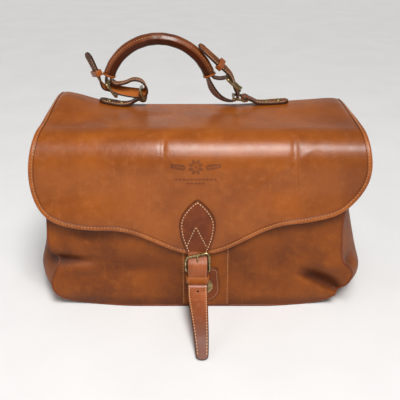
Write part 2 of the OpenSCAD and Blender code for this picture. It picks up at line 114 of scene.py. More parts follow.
def round_end(left, r, least):
    """Share of a strap's half width at a distance left from its end: sqrt(1 - (1 - left/r)^2), at least sqrt(least)."""
    return np.sqrt(np.clip(1 - (1 - np.clip(left / r, 0, 1)) ** 2, least, 1))


def step(x, a, b):
    """0 before a, 1 after b, and 3t^2 - 2t^3 between them."""
    t = np.clip((np.asarray(x, float) - a) / (b - a), 0, 1)
    return t * t * (3 - 2 * t)


def hump(x, z, cx, cz, wx, up, down=None, slope=0.0):
    """A soft hump, exp(-(dx/wx)^2 - (dz/w)^2), with its own width above and below a crest that tilts by slope."""
    dz = z - cz - slope * (x - cx)
    w = np.where(dz > 0, up, down or up)
    return np.exp(-(((x - cx) / wx) ** 2) - (dz / w) ** 2)


def rounded(half_a, half_b, r, n=6):
    """A closed rounded rectangle: four quarter circles of radius r, joined by straight lines."""
    a, b = half_a - r, half_b - r
    return np.vstack([arc((a, b), r, 0, 90, n), arc((-a, b), r, 90, 180, n),
                      arc((-a, -b), r, 180, 270, n), arc((a, -b), r, 270, 360, n)])


ROUND = arc((0, 0), 1, 0, 330, 12)

# ---------------------------------------------------------------- meshes


def grid_faces(nu, nv, wrap_u=False, wrap_v=False):
    """Quads of a grid of nu by nv points, as whole index arrays; wrap joins the last row or column to the first."""
    i, j = np.meshgrid(np.arange(nu - (not wrap_u)), np.arange(nv - (not wrap_v)), indexing="ij")
    k, m = (i + 1) % nu, (j + 1) % nv
    return np.stack([i * nv + j, k * nv + j, k * nv + m, i * nv + m], -1).reshape(-1, 4)


def slab(outer, inner):
    """A closed sheet between two grids: the outer faces, the inner ones turned round, and a rim of quads between
    their edges."""
    nu, nv = outer.shape[:2]
    count = nu * nv
    face = grid_faces(nu, nv)
    edge = np.concatenate([np.arange(nu) * nv, (nu - 1) * nv + np.arange(1, nv),
                           np.arange(nu - 2, -1, -1) * nv + nv - 1, np.arange(nv - 2, 0, -1)])
    after = np.roll(edge, -1)
    rim = np.stack([after, edge, edge + count, after + count], -1)
    points = np.concatenate([outer.reshape(-1, 3), inner.reshape(-1, 3)])
    index = np.repeat([0, 1, 2], [len(face), len(face), len(rim)])
    return points, np.concatenate([face, face[:, ::-1] + count, rim]), index


def tube(rings, index=None):
    """A closed skin over a row of rings, each end shut by a fan to the ring's middle."""
    n, m = rings.shape[:2]
    side = grid_faces(n, m, wrap_v=True)
    mids = np.stack([rings[0].mean(0), rings[-1].mean(0)])
    j = np.arange(m)
    first = np.stack([np.full(m, n * m), j, (j + 1) % m, (j + 1) % m], -1)
    last = np.stack([np.full(m, n * m + 1), (n - 1) * m + (j + 1) % m, (n - 1) * m + j, (n - 1) * m + j], -1)
    which = np.tile(index if index is not None else np.zeros(m, int), n - 1)
    ends = np.full(2 * m, 2 if index is not None else 0)
    return np.vstack([rings.reshape(-1, 3), mids]), np.concatenate([side, first, last]), np.concatenate([which, ends])


def loop(rings, index=None):
    """A closed skin over rings whose last one meets the first."""
    n, m = rings.shape[:2]
    which = np.tile(index if index is not None else np.zeros(m, int), n)
    return rings.reshape(-1, 3), grid_faces(n, m, True, True), which


def joined(*shells):
    """Several closed skins as one mesh, the indices of each moved up past those before it."""
    starts = np.cumsum([0] + [len(s[0]) for s in shells[:-1]])
    return (np.vstack([s[0] for s in shells]), np.concatenate([s[1] + k for s, k in zip(shells, starts)]),
            np.concatenate([s[2] for s in shells]))


def carry(path, profile, across, closed=False):
    """A profile carried along a path: path + a * across + h * (direction x across) for each (a, h) of the profile."""
    t = tangents(path, closed)
    across = np.broadcast_to(np.asarray(across, float), path.shape)
    up = unit(np.cross(t, across))
    return path[:, None] + profile[..., :1] * across[:, None] + profile[..., 1:] * up[:, None]


def outward(points, faces):
    """Whether a closed skin's faces point out: its volume, summed over tetrahedra to the middle, is positive."""
    p = points - points.mean(0)
    a, b, c, d = (p[faces[:, k]] for k in range(4))
    return np.einsum("ij,ij->", np.cross(b - a, c - a), a) + np.einsum("ij,ij->", np.cross(c - a, d - a), a) > 0


def linked(name, data):
    """A new object in the scene, at the origin."""
    o = bpy.data.objects.new(name, data)
    bpy.context.scene.collection.objects.link(o)
    return o


def solid(name, shell, mats, sharp=50, tone=None):
    """A mesh object from a closed shell in millimetres, with its faces turned outwards."""
    points, faces, index = shell
    if not outward(points, faces):
        faces = faces[:, ::-1]
    # A triangle comes as a quad with two like corners side by side; the second of the two is left out
    spare = np.where(faces[:, 2] == faces[:, 3], 3, np.where(faces[:, 0] == faces[:, 1], 1, -1))
    kept = np.arange(4) != spare[:, None]
    sides = kept.sum(1)
    mesh = bpy.data.meshes.new(name)
    mesh.vertices.add(len(points))
    mesh.vertices.foreach_set("co", (points * MM).astype(np.float32).ravel())
    mesh.loops.add(int(sides.sum()))
    mesh.loops.foreach_set("vertex_index", faces[kept].astype(np.int32))
    mesh.polygons.add(len(faces))
    mesh.polygons.foreach_set("loop_start", (np.cumsum(sides) - sides).astype(np.int32))
    mesh.update(calc_edges=True)
    mats = [mats] if isinstance(mats, bpy.types.Material) else mats
    for m in mats:
        mesh.materials.append(m)
    mesh.polygons.foreach_set("material_index", np.minimum(index, len(mats) - 1).astype(np.int32))
    mesh.shade_smooth()
    mesh.set_sharp_from_angle(angle=math.radians(sharp))
    if tone is not None:
        mesh.attributes.new("tone", "FLOAT", "POINT").data.foreach_set("value", tone.astype(np.float32).ravel())
    mesh.update()
    return linked(name, mesh)


def punch(o, centre, axis, r, depth=12.0):
    """A hole of radius r through a strap: a Boolean with a twelve-sided pin, whose wall takes the cut edge's finish."""
    axis = unit(np.asarray(axis, float))
    side = unit(np.cross(axis, (1.0, 0.2, 0.1)))
    ring = ROUND[:, :1] * side + ROUND[:, 1:] * np.cross(axis, side)
    ends = np.array([-depth / 2, 0, depth / 2])[:, None, None] * axis
    pin = solid("pin", tube(np.asarray(centre, float) + ends + r * ring[None]), BURNISH)
    cut = o.modifiers.new("hole", "BOOLEAN")
    cut.object, cut.solver, cut.material_mode = pin, "EXACT", "TRANSFER"
    o.data = bpy.data.meshes.new_from_object(o.evaluated_get(bpy.context.evaluated_depsgraph_get()))
    o.modifiers.clear()
    bpy.data.objects.remove(pin)


def piece(name, shell, mats, body, stands_for=(), sharp=50, tone=None, hole=None):
    """One finished object from a closed shell; body is one CAD body to hang it from, or (a, b, start, end), for which
    its place is only baked into its mesh.
    """
    o = solid(name, shell, mats, sharp, tone)
    if hole:
        punch(o, *hole)
    if isinstance(body, str):
        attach(o, body)
    else:
        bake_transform(o)
    if stands_for:
        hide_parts(*stands_for)
    return o


def coons(top, bottom, left, right):
    """A grid inside four edges: the two ruled blends of opposite edges added, less the blend of the four corners."""
    s = np.linspace(0, 1, len(top))[:, None, None]
    t = np.linspace(0, 1, len(left))[None, :, None]
    ruled = (1 - t) * top[:, None] + t * bottom[:, None] + (1 - s) * left[None] + s * right[None]
    corners = (1 - s) * (1 - t) * top[0] + s * (1 - t) * top[-1] + (1 - s) * t * bottom[0] + s * t * bottom[-1]
    return ruled - corners


def plate(outline, place, low, high, edge=0.7, rings=7):
    """A flat piece with a rounded rim: rings of its outline, drawn in by a quarter round and then shrunk to the
    middle, at heights low to high over the surface that place(u, v, height) gives."""
    out = np.asarray(outline, float)
    mid = out.mean(0)
    inner = turned_in(out, mid, loose=False)
    a = np.radians([0, 30, 60, 90])
    ring = [(out, low)] + [(out + inner * edge * (1 - math.cos(x)), high - edge + edge * math.sin(x)) for x in a]
    drawn = out + inner * edge
    ring += [(mid + (drawn - mid) * k, high) for k in np.linspace(1, 0.04, rings)[1:]]
    ring = [(mid + (out - mid) * 0.04, low), (mid + (out - mid) * 0.6, low)] + ring
    rings3 = np.stack([place(r[:, 0], r[:, 1], np.full(len(r), h)) for r, h in ring])
    points, faces, _ = tube(rings3)
    m = len(out)
    which = np.concatenate([np.repeat([1, 1, 2, 2, 2] + [0] * (len(ring) - 6), m), np.repeat([1, 0], m)])
    return points, faces, which


def stitches(name, line, up, body, pitch=3.6, length=2.5, width=0.9, lift=0.12, thread=None):
    """A row of threads: small six-sided beads, long along the seam, at equal steps, each half sunk in the leather."""
    s = lengths(line)
    at = np.arange(pitch / 2, s[-1], pitch)
    mid = np.stack([np.interp(at, s, c) for c in line.T], 1)
    t = unit(np.stack([np.interp(at, s, c) for c in tangents(line).T], 1))
    n = unit(np.stack([np.interp(at, s, c) for c in np.broadcast_to(up, line.shape).T], 1))
    b = unit(np.cross(n, t))
    n = np.cross(t, b)
    k = np.radians(np.arange(6) * 60)
    along = np.array([-1, -0.62, 0, 0.62, 1]) * length / 2
    wide = np.array([0.12, 0.8, 1, 0.8, 0.12]) * width / 2
    bead = np.stack([np.repeat(along, 6), (wide[:, None] * np.cos(k)).ravel(),
                     (wide[:, None] * np.sin(k) * 0.8).ravel()], 1)
    points = (mid[:, None] + bead[:, :1] * t[:, None] + bead[:, 1:2] * b[:, None] + (bead[:, 2:] + lift) * n[:, None])
    one = np.vstack([grid_faces(5, 6, wrap_v=True), [[5, 4, 3, 2], [5, 2, 1, 0], [24, 25, 26, 27], [24, 27, 28, 29]]])
    if not outward(points[0], one):
        one = one[:, ::-1]
    faces = (one[None] + 30 * np.arange(len(at))[:, None, None]).reshape(-1, 4)
    return piece(name, (points.reshape(-1, 3), faces, np.zeros(len(faces), int)), thread or THREAD, body,
                 sharp=80)


# ---------------------------------------------------------------- materials


def linear(code):
    """sRGB hex to linear: c / 12.92 below 0.04045, and ((c + 0.055) / 1.055)^2.4 above."""
    c = np.array([int(code[i:i + 2], 16) for i in (1, 3, 5)]) / 255
    return (*np.where(c <= 0.04045, c / 12.92, ((c + 0.055) / 1.055) ** 2.4).tolist(), 1.0)


def node(tree, kind, settings=None, inputs=None):
    """Adds one node with its settings; an input is a value, or the socket that it is linked from."""
    n = tree.nodes.new(kind)
    for key, value in (settings or {}).items():
        setattr(n, key, value)
    for key, value in (inputs or {}).items():
        if isinstance(value, bpy.types.NodeSocket):
            tree.links.new(value, n.inputs[key])
        else:
            n.inputs[key].default_value = value
    return n


def blank(name):
    """A new material with an empty tree, and its Object coordinates."""
    m = bpy.data.materials.new(name)
    m.use_nodes = True
    m.node_tree.nodes.clear()
    return m, m.node_tree, node(m.node_tree, "ShaderNodeTexCoord").outputs["Object"]


def shade(tree, **inputs):
    """The shader and the output."""
    s = node(tree, "ShaderNodeBsdfPrincipled", None, {k.replace("_", " "): v for k, v in inputs.items()})
    node(tree, "ShaderNodeOutputMaterial", None, {"Surface": s.outputs[0]})


def noise(t, place, size_mm, detail, rough=0.5):
    """Clouds about size_mm across."""
    inputs = {"Vector": place, "Scale": 1000 / size_mm, "Detail": detail, "Roughness": rough}
    return node(t, "ShaderNodeTexNoise", None, inputs).outputs[0]


def spread(t, value, low, high, start=0.0, end=1.0):
    """Stretches the values from low to high over start to end, and holds them there outside."""
    inputs = {"Value": value, "From Min": low, "From Max": high, "To Min": start, "To Max": end}
    return node(t, "ShaderNodeMapRange", None, inputs).outputs[0]


def bumped(t, height, strength, depth_mm):
    """A normal bent by a height, depth_mm from its lowest to its highest."""
    return node(t, "ShaderNodeBump", None, {"Strength": strength, "Distance": depth_mm / 1000,
                                            "Height": height}).outputs[0]


def mix(t, share, a, b, **settings):
    """Colour a where share is 0 and b where it is 1."""
    return node(t, "ShaderNodeMix", {"data_type": "RGBA", **settings}, {0: share, 6: a, 7: b}).outputs[2]


def leather(name, main, deep, pale, rough=0.4, coat=0.25, grain_mm=1.7, scratch=0.3, relief=0.35):
    """Vegetable-tanned cowhide: dyed unevenly over 45 mm clouds and 9 mm mottles, pores grain_mm apart,
    soft wrinkles, thin pale scratches and a waxed surface that is duller where it was rubbed. The piece's tone
    attribute darkens the colour, mostly as painted shade."""
    mat, t, place = blank(name)
    cloud, mottle = noise(t, place, 45, 4.0, 0.55), noise(t, place, 9, 5.0, 0.6)
    hide_colour = mix(t, spread(t, cloud, 0.36, 0.62), linear(deep), linear(main))
    hide_colour = mix(t, spread(t, mottle, 0.5, 0.75, 0.0, 0.45), hide_colour, linear(pale))
    turned = node(t, "ShaderNodeMapping", None, {"Vector": place, "Rotation": (0.3, 1.05, 0.2),
                                                 "Scale": (520.0, 60.0, 26.0)}).outputs[0]
    hide_colour = mix(t, spread(t, noise(t, turned, 1000, 2.0), 0.64, 0.71, 0.0, scratch), hide_colour, linear(pale))
    # The tone attribute multiplies the colour darker: painted shade on the front panel, gussets, grip underside and
    # closing strap's tip; on the flap, a darkening of its sides and lower edge; on the binding, its inner edge.
    tone = node(t, "ShaderNodeAttribute", {"attribute_name": "tone"}).outputs["Fac"]
    hide_colour = mix(t, tone, hide_colour, linear("#8a7468"), blend_type="MULTIPLY")
    pore = node(t, "ShaderNodeTexVoronoi", {"feature": "SMOOTH_F1"},
                {"Vector": place, "Scale": 1000 / grain_mm, "Smoothness": 0.6}).outputs[0]
    hide_colour = mix(t, spread(t, pore, 0.2, 0.75, 0.0, 0.22), hide_colour, linear(deep))
    high = node(t, "ShaderNodeMath", {"operation": "MULTIPLY_ADD"}, {0: pore, 1: 0.22, 2: mottle}).outputs[0]
    rub = spread(t, mottle, 0.3, 0.7, rough - 0.06, rough + 0.1)
    shade(t, Base_Color=hide_colour, Roughness=rub, Normal=bumped(t, high, relief, 0.9), IOR=1.5, Specular_IOR_Level=0.28,
          Coat_Weight=coat, Coat_Roughness=0.22, Coat_IOR=1.45)
    return mat


def brass(name, main, dark, pale, rough=0.3):
    """Cast brass, antiqued: brown patina in clouds 4 mm across, rubbed brighter between, finely
    scuffed."""
    mat, t, place = blank(name)
    cloud = noise(t, place, 4, 6.0, 0.65)
    tint = mix(t, spread(t, cloud, 0.38, 0.58), linear(dark), linear(main))
    tint = mix(t, spread(t, cloud, 0.55, 0.72), tint, linear(pale))
    dull = spread(t, cloud, 0.3, 0.7, rough + 0.14, rough - 0.04)
    shade(t, Base_Color=tint, Metallic=1.0, Roughness=dull, Normal=bumped(t, cloud, 0.25, 0.3))
    return mat


def fibre(name, main, dark, spacing_mm, rough=0.85, relief=0.5):
    """Spun or woven fibre: two sets of crossing waves spacing_mm apart, with 6 mm clouds of lighter and darker yarn."""
    mat, t, place = blank(name)
    turned = node(t, "ShaderNodeMapping", None, {"Vector": place, "Rotation": (0.0, 0.785, 0.3)}).outputs[0]
    wave = [node(t, "ShaderNodeTexWave", {"bands_direction": d},
                 {"Vector": turned, "Scale": 314 / spacing_mm / 2, "Distortion": 0.6}).outputs[1] for d in "XZ"]
    weave = node(t, "ShaderNodeMath", {"operation": "MULTIPLY"}, {0: wave[0], 1: wave[1]}).outputs[0]
    mixed = node(t, "ShaderNodeMath", {"operation": "MULTIPLY_ADD"},
                 {0: weave, 1: 0.5, 2: noise(t, place, 6, 4.0)}).outputs[0]
    tint = mix(t, spread(t, mixed, 0.35, 0.95), linear(dark), linear(main))
    shade(t, Base_Color=tint, Roughness=rough, Normal=bumped(t, mixed, relief, 0.4), Sheen_Weight=0.25,
          Sheen_Roughness=0.5)
    return mat


# Bridle leather of the flap and body, dyed tan, drum-stuffed with wax: broad soft highlights, pinkish where worn
HIDE = leather("waxed_bridle_leather", "#904a0c", "#7c3c06", "#9e5a24", rough=0.37, coat=0.25, scratch=0.35)
# The body's hide: darker than the flap's, partly its own dye and partly painted shade for the flap's shadow over the
# front; every body panel wears it.
BODY_HIDE_AND_SHADE = leather("waxed_bridle_leather_body_dye_and_painted_shade", "#834106", "#673004", "#995418", rough=0.55, coat=0.0)
# The same hide with a redder, darker dye, for tabs, patches and edges
BROWN_HIDE = leather("russet_strap_leather", "#74340a", "#5a2405", "#88441a", rough=0.5, coat=0.08, grain_mm=1.5)
EDGE_HIDE = leather("turned_edge_leather", "#985018", "#7e3e0c", "#ac6a34", rough=0.42, coat=0.25, grain_mm=1.4)
STRAP_HIDE = leather("oiled_strap_leather", "#924c26", "#743a16", "#b27452", rough=0.42, coat=0.3, grain_mm=1.5)
HANDLE_HIDE = leather("dark_harness_leather", "#70340e", "#4a2208", "#924e20", rough=0.34, coat=0.4, grain_mm=1.4)
HARNESS = leather("dark_harness_strap", "#78401a", "#4e2a0e", "#8e5226", rough=0.52, coat=0.05, grain_mm=1.4)
# The flesh side of the hide: unfinished, nappy, orange
FLESH = leather("split_flesh_side", "#9c5418", "#7e400e", "#b06c34", rough=0.85, coat=0.0, grain_mm=1.0, scratch=0.1,
                relief=0.7)
# Cut edges, inked and rubbed until they shine
BURNISH = leather("burnished_edge", "#3e1e0a", "#2c1406", "#5a3014", rough=0.45, coat=0.1, grain_mm=0.9, scratch=0.1)
STAMP = leather("blind_stamped_leather", "#723a12", "#5e2c0c", "#84481e", rough=0.5, coat=0.1)
BRASS = brass("antiqued_cast_brass", "#ab966a", "#665638", "#d8caa0")
# Waxed linen thread, three plies to the millimetre
THREAD_TAN = fibre("tan_linen_thread", "#c4905a", "#94663a", 0.6)
THREAD = fibre("waxed_linen_thread", "#e4c092", "#b68c5c", 0.6)
CLOTH = fibre("cotton_twill_lining", "#9a7d58", "#6e5538", 1.2)
BOARD = fibre("pressed_leatherboard", "#7a5638", "#5a3c24", 2.0, rough=0.8)
CORD = fibre("twisted_cotton_cord", "#c8b08a", "#94794f", 1.5)
SKIN = [HIDE, FLESH, BURNISH]
BODY_SKIN_AND_SHADE = [BODY_HIDE_AND_SHADE, FLESH, BURNISH]
BROWN_SKIN = [BROWN_HIDE, FLESH, BURNISH]
HARNESS_SKIN = [HARNESS, FLESH, BURNISH]

# ---------------------------------------------------------------- body

FRONT, BACK, LEAN = -76.9, 73.4, 0.07
BODY_THICK, FLAP_SIDE = 2.4, 1.3  # the body's leather, and half the flap's
PANEL_HALF, CORNER_R, LOW = 180.0, 50.0, 0.6
BULGE_HALF, BULGE_R, TOP_HALF, GUSSET_TOP = 213.0, 38.0, 178.0, 212.0
BASE_HALF = 160.0


def tuck(z):
    """How far a panel draws in near the floor: 9 (1 - z/30)^2."""
    return 9 * np.clip(1 - z / 30, 0, 1) ** 2


def front_y(x, z):
    """The front's face: upright, leaning back above 90 mm, drawn in at the floor, and hollowed by folds that run in
    from the pinched side seams; the middle stays flat behind the closure."""
    fold = 8 * hump(x, z, -184, 68, 22, 10) + 5 * hump(x, z, -160, 65, 24, 8, 3.5, 0.03) - 3 * hump(x, z, -142, 55, 22,
            7)
    fold += 6 * hump(x, z, -92, 58, 60, 30, 15) + 4 * hump(x, z, -140, 106, 36, 14)
    fold += 13 * step(x, 104, 150) * (1 - 0.7 * step(x, 168, 192)) * hump(x, z, 160, 29, 60, 18, 3.6, -0.47)
    fold += 3.5 * hump(x, z, 108, 72, 40, 22) - 2.5 * hump(x, z, 148, 62, 34, 12)
    flat = 1 - np.exp(-(((x - 5) / 40) ** 4))
    return FRONT + LEAN * np.maximum(0, z - 90) + tuck(z) * (0.12 + 0.88 * step(np.abs(x), 80, 165)) + fold * flat


def back_y(x, z):
    """The back's face: upright, drawn in at the floor, with two shallow slanting dents."""
    dent = 2.2 * hump(x, z, -70, 95, 60, 40, 40, 0.25) + 1.8 * hump(x, z, 95, 70, 50, 30, 30, -0.3)
    return BACK - tuck(z) - dent


def on_front(x, z, h):
    """A point h outside the front's face."""
    return np.stack([x, front_y(x, z) - h, z], -1)


def on_back(x, z, h):
    """A point h outside the back's face."""
    return np.stack([x, back_y(x, z) + h, z], -1)


# The front seam from its left top, down, along the floor and up the right side, pinched in at both sides
FRONT_SEAM = smooth([(-180, 194), (-183, 150), (-184.5, 119), (-185.5, 96), (-182.5, 80), (-175.5, 68.5), (-177, 59),
                     (-182, 48),
                     (-186, 38), (-185, 26), (-178, 15), (-164, 8), (-140, 3.5), (-100, 1), (-50, 0.6), (0, 0.6),
                     (50, 0.6),
                     (100, 1), (138, 3.5), (158, 9), (172, 18), (181.5, 28), (188, 38), (190.5, 48), (187, 57),
                     (178, 65),
                     (174.5, 76), (173, 95), (172.5, 115), (174, 135), (177, 160), (180, 194)])


def panel_edge(half, r, low, top):
    """A panel's edge from its left top, round two corners of radius r, to its right top."""
    return np.vstack([[(-half, top)], arc((r - half, low + r), r, 180, 270, 16),
                      arc((half - r, low + r), r, -90, 0, 16), [(half, top)]])


def split(edge, is_cut):
    """An edge cut in three where is_cut first and last holds."""
    where = np.nonzero(is_cut(edge))[0]
    return edge[:where[0] + 1], edge[where[0]:where[-1] + 1], edge[where[-1]:]


def panel_grid(edge, cut_z, nu, nv):
    """The x and z of a grid inside a panel's edge; its lower corners sit where the edge passes cut_z."""
    left, low, right = split(even(edge, 900), lambda e: e[:, 1] < cut_z)
    top = np.stack([np.linspace(edge[0, 0], edge[-1, 0], nu), np.linspace(edge[0, 1], edge[-1, 1], nu)], 1)
    return np.moveaxis(coons(top, even(low, nu), even(left, nv), even(right[::-1], nv)), -1, 0)


BACK_SEAM = panel_edge(PANEL_HALF, CORNER_R, LOW, 212)
x, z = panel_grid(FRONT_SEAM, 15, 170, 90)
# Painted shade on the front: darker where the folds hollow it, towards the floor, in two patches at mid-height and up
# under the flap's edge.
front_painted_shade = np.clip(0.9 * step(front_y(x, z) - FRONT - tuck(z) - LEAN * np.maximum(0, z - 90), 2, 9)
                     + 0.6 * step(z, 20, 4) + 0.45 * hump(x, z, -40, 50, 32, 40) + 0.35 * hump(x, z, 74, 62, 60, 36)
                     + 0.35 * step(z, 92, 130), 0, 1)
piece("front_panel_leather", slab(on_front(x, z, 0), on_front(x, z, -BODY_THICK)), BODY_SKIN_AND_SHADE, "bag", ["front_panel"],
      tone=np.concatenate([front_painted_shade.ravel()] * 2))
x, z = panel_grid(BACK_SEAM, 15, 150, 80)
piece("back_panel_leather", slab(on_back(x, z, 0), on_back(x, z, -BODY_THICK)), BODY_SKIN_AND_SHADE, "bag", ["back_panel"])


def gusset_half(z):
    """Half width of the bulge: 178 + 35 (1 - (z - 38) / 174)^1.3."""
    return TOP_HALF + (BULGE_HALF - TOP_HALF) * (1 - (z - BULGE_R) / (GUSSET_TOP - BULGE_R)) ** 1.3


heights = np.linspace(GUSSET_TOP, BULGE_R, 30)
bulge = np.vstack([np.stack([-gusset_half(heights), heights], 1),
                   arc((BULGE_R - BULGE_HALF, BULGE_R), BULGE_R, 180, 270, 16)])
bulge = np.vstack([bulge, (bulge * [-1, 1])[::-1]])


def thirds(edge, counts):
    """An edge's three parts, cut at the base's two ends, each with its own number of even steps."""
    parts = split(even(edge, 2000), lambda e: (np.abs(e[:, 0]) < BASE_HALF) & (e[:, 1] < 30))
    return [even(p, n) for p, n in zip(parts, counts)]


def welt(front, middle, back, nv):
    """The strip between two seams: in each section the parabola through the front seam, the bulge and the back seam."""
    v = np.linspace(0, 1, nv)[None, :, None]
    f = np.stack([front[:, 0], front_y(front[:, 0], front[:, 1]) + 1.5, front[:, 1]], 1)[:, None]
    m = np.stack([middle[:, 0], np.full(len(middle), (FRONT + BACK) / 2), middle[:, 1]], 1)[:, None]
    b = np.stack([back[:, 0], back_y(back[:, 0], back[:, 1]) - 1.5, back[:, 1]], 1)[:, None]
    p = 2 * (v - 0.5) * (v - 1) * f + 4 * v * (1 - v) * m + 2 * v * (v - 0.5) * b
    s, v, z = np.sign(p[..., 0]), v[..., 0], p[..., 2]
    dent = np.where(s < 0, 12 * np.exp(-(((v - 0.17) / 0.12) ** 2) - ((z - 67) / 12) ** 2),
                    5 * np.exp(-(((v - 0.12) / 0.07) ** 2) - ((z - 58) / 10) ** 2))
    dent = dent + 5 * np.exp(-(((v - 0.5) / 0.16) ** 2)) * step(z, 110, 190)
    p[..., 0] -= s * dent * step(np.abs(p[..., 0]), 150, 175)
    p[..., 2] = np.maximum(p[..., 2], 0.0)
    return p, np.clip(dent / 8, 0, 1) * step(z, 130, 100)


def behind(p, t, inside):
    """The grid t behind p, along the normals du x dv, on the side of the point inside."""
    n = unit(np.cross(np.gradient(p, axis=0), np.gradient(p, axis=1)))
    n *= np.sign(np.sum(n * (np.asarray(inside) - p)))
    return p + t * n


for k, (name, node_name) in enumerate([("left_gusset_leather", "left_gusset"), ("base_leather", "base_panel"),
                                       ("right_gusset_leather", "right_gusset")]):
    cut = [thirds(e, (90, 40, 90))[k] for e in (FRONT_SEAM, bulge, BACK_SEAM)]
    grid, shadow = welt(*cut, 48)
    inner = behind(grid, BODY_THICK, (0, 0, 110))
    piece(name, slab(grid, inner), BODY_SKIN_AND_SHADE, "bag", [node_name],
          tone=np.concatenate([shadow.ravel()] * 2))


def piping(name, edge, place, node_name, r=1.5):
    """A corded welt: a round cord of radius r carried along just outside a seam."""
    e = even(edge, 420)
    t = tangents(e)
    out = np.stack([-t[:, 1], t[:, 0]], 1) * np.sign(edge[0, 0])
    e = e + out * 0.9
    e[:, 1] = np.maximum(e[:, 1], r + 0.1)
    path = place(*e.T, -0.9)
    side = unit(np.cross(tangents(path), (0, 1.0, 0)))
    up = np.cross(side, tangents(path))
    rings = path[:, None] + r * (ROUND[None, :, :1] * side[:, None] + ROUND[None, :, 1:] * up[:, None])
    piece(name, tube(rings), BROWN_HIDE, "bag", [node_name])


piping("front_piping_cord", FRONT_SEAM, on_front, "front_piping")
piping("back_piping_cord", panel_edge(PANEL_HALF, CORNER_R, LOW, 190), on_back, "back_piping")

rim = np.linspace(-178, 178, 90)
path = on_front(rim, 194.6 + 0 * rim, -1.2)
piece("front_rim_strip", tube(carry(path, rounded(1.9, 2.0, 0.9), (0, 1, 0))), BROWN_HIDE, "bag", ["front_rim"])

# The centre band, stitched down both sides, and the patch that carries the press snap
u, v = np.meshgrid(np.linspace(-23, 37, 30), np.concatenate([np.linspace(4, 30, 20), np.linspace(32, 150, 50)]),
                   indexing="ij")
piece("centre_band_leather", slab(on_front(u, v, 1.0), on_front(u, v, 0.0)), BODY_SKIN_AND_SHADE, "bag", ["centre_band"])
for tag, off in (("left", -20.8), ("right", 34.4)):
    v = np.linspace(5, 146, 90)
    stitches(f"band_stitches_{tag}", on_front(off + 0 * v, v, 1.0), (0, -1, 0), "bag", width=0.9,
             thread=THREAD_TAN)
patch = np.vstack([smooth([(-11, 58), (5, 58.4), (21, 58), (22.6, 50), (24.4, 40)], 5), arc((5, 29), 20, 0, -180, 24),
                   smooth([(-14.6, 40), (-13, 50)], 4)])
patch = even_outline(patch, 60)
piece("lock_patch_leather", plate(patch, on_front, 1.0, 2.8), BROWN_SKIN, "bag", ["lock_patch"])
inset = patch + unit(patch.mean(0) - patch) * 2.6
inset = np.vstack([inset, inset[:1]])
stitches("lock_patch_stitches", on_front(*inset.T, 2.8), (0, -1, 0), "bag", pitch=3.4, length=2.1,
         thread=THREAD_TAN)

# ---------------------------------------------------------------- flap

RIDGE_Z = 225.7
BEND_Y, BEND_Z, BEND_R = -37.02, 189.7, 36.0
SIDE_VIEW = np.vstack([[(74.8, 192), (74.8, 205)], arc((66, 216.9), 8.8, 0, 90, 10), [(30, RIDGE_Z)],
                       arc((BEND_Y, BEND_Z), BEND_R, 90, 180, 30), [(-80, 90), (-80, 55)]])
RUN = even(SIDE_VIEW, 1200)
soft = averaged(RUN, 45, mode="reflect", reflect_type="odd")
RUN = RUN + (soft - RUN) * step(-RUN[:, :1], -24, 10) * step(RUN[:, 1:], 60, 90)
RUN_S = lengths(RUN)
RUN_N = np.stack([tangents(RUN)[:, 1], -tangents(RUN)[:, 0]], 1)
RUN_N *= np.sign(RUN_N[300] @ [0, 1])
RUN_N = unit(averaged(RUN_N, 12, mode="edge"))
FRONT_OF = RUN[:, 0] < BEND_Y


def run_at_z(z):
    """Distance along the flap's side view where its front passes height z."""
    return np.interp(-np.asarray(z, float), -RUN[FRONT_OF, 1], RUN_S[FRONT_OF])


def run_at_y(y):
    """Distance along the flap's side view where its top passes depth y."""
    top = (RUN[:, 1] > 220) & (RUN[:, 0] < 70)
    return np.interp(-y, -RUN[top, 0], RUN_S[top])


RIDGE_LIFT = smooth([(-199, 2), (-192, 8), (-186, 13.5), (-177, 16.5), (-160, 13.5), (-137, 6.8), (-112, 1.3),
                     (-94, -0.3), (-30, -0.5), (47, -0.3),
                     (80, 1.5), (114, 4), (150, 6.5), (172, 8), (183, 7), (190, 3), (198, -2)])


def on_flap(x, d, h):
    """A point of the flap at distance d along its side view and h over the middle of its leather. The ridge rises
    towards its ends, the lower edge stands off the body at the sides, and shallow creases cross the bend."""
    y, z = np.interp(d, RUN_S, RUN[:, 0]), np.interp(d, RUN_S, RUN[:, 1])
    ny, nz = np.interp(d, RUN_S, RUN_N[:, 0]), np.interp(d, RUN_S, RUN_N[:, 1])
    size = np.sqrt(ny**2 + nz**2)
    ny, nz = ny / size, nz / size
    rise = np.interp(x, RIDGE_LIFT[:, 0], RIDGE_LIFT[:, 1]) * step(y, -30, 56) * step(z, 188, 214)
    lower = step(-z, -165, -118) * (z < 200) * (y < 0)
    flare = 5.0 * step(np.abs(x), 40, 120) * lower
    wave = 1.0 * np.sin(x / 31 + 0.6) * np.sin(d / 37) + 1.3 * hump(x, d, 70, run_at_z(150), 50, 24, 24, 0.5)
    bend = run_at_z(212)
    crease = 1.0 * hump(x, d, -43, bend, 3, 22) + 1.1 * hump(x, d, 111, bend, 4, 26)
    crease -= 0.7 * hump(x, d, 92, bend + 30, 40, 5, 5, -0.7)
    quiet = 1 - np.exp(-(((x + 3) / 26) ** 2)) * step(-z, -170, -140)
    off = h + flare + (wave * quiet - crease) * step(y, 34, 10)
    return np.stack([x, y + ny * off, z + nz * off + rise], -1)


def flap_low(x):
    """Height of the flap's lower edge: a cosine scallop to 115 mm, a slow rise beyond, hanging lower on the left."""
    a = np.abs(x)
    base = 79 + np.where(a < 115, 21 * (1 - np.cos(np.pi * np.minimum(a, 115) / 115)),
                         42 + 10 * (np.maximum(a - 115, 0) / 54) ** 1.6)
    return base + np.where(x < 0, -10.5 * a / 165, 3 * (a / 165) ** 2)


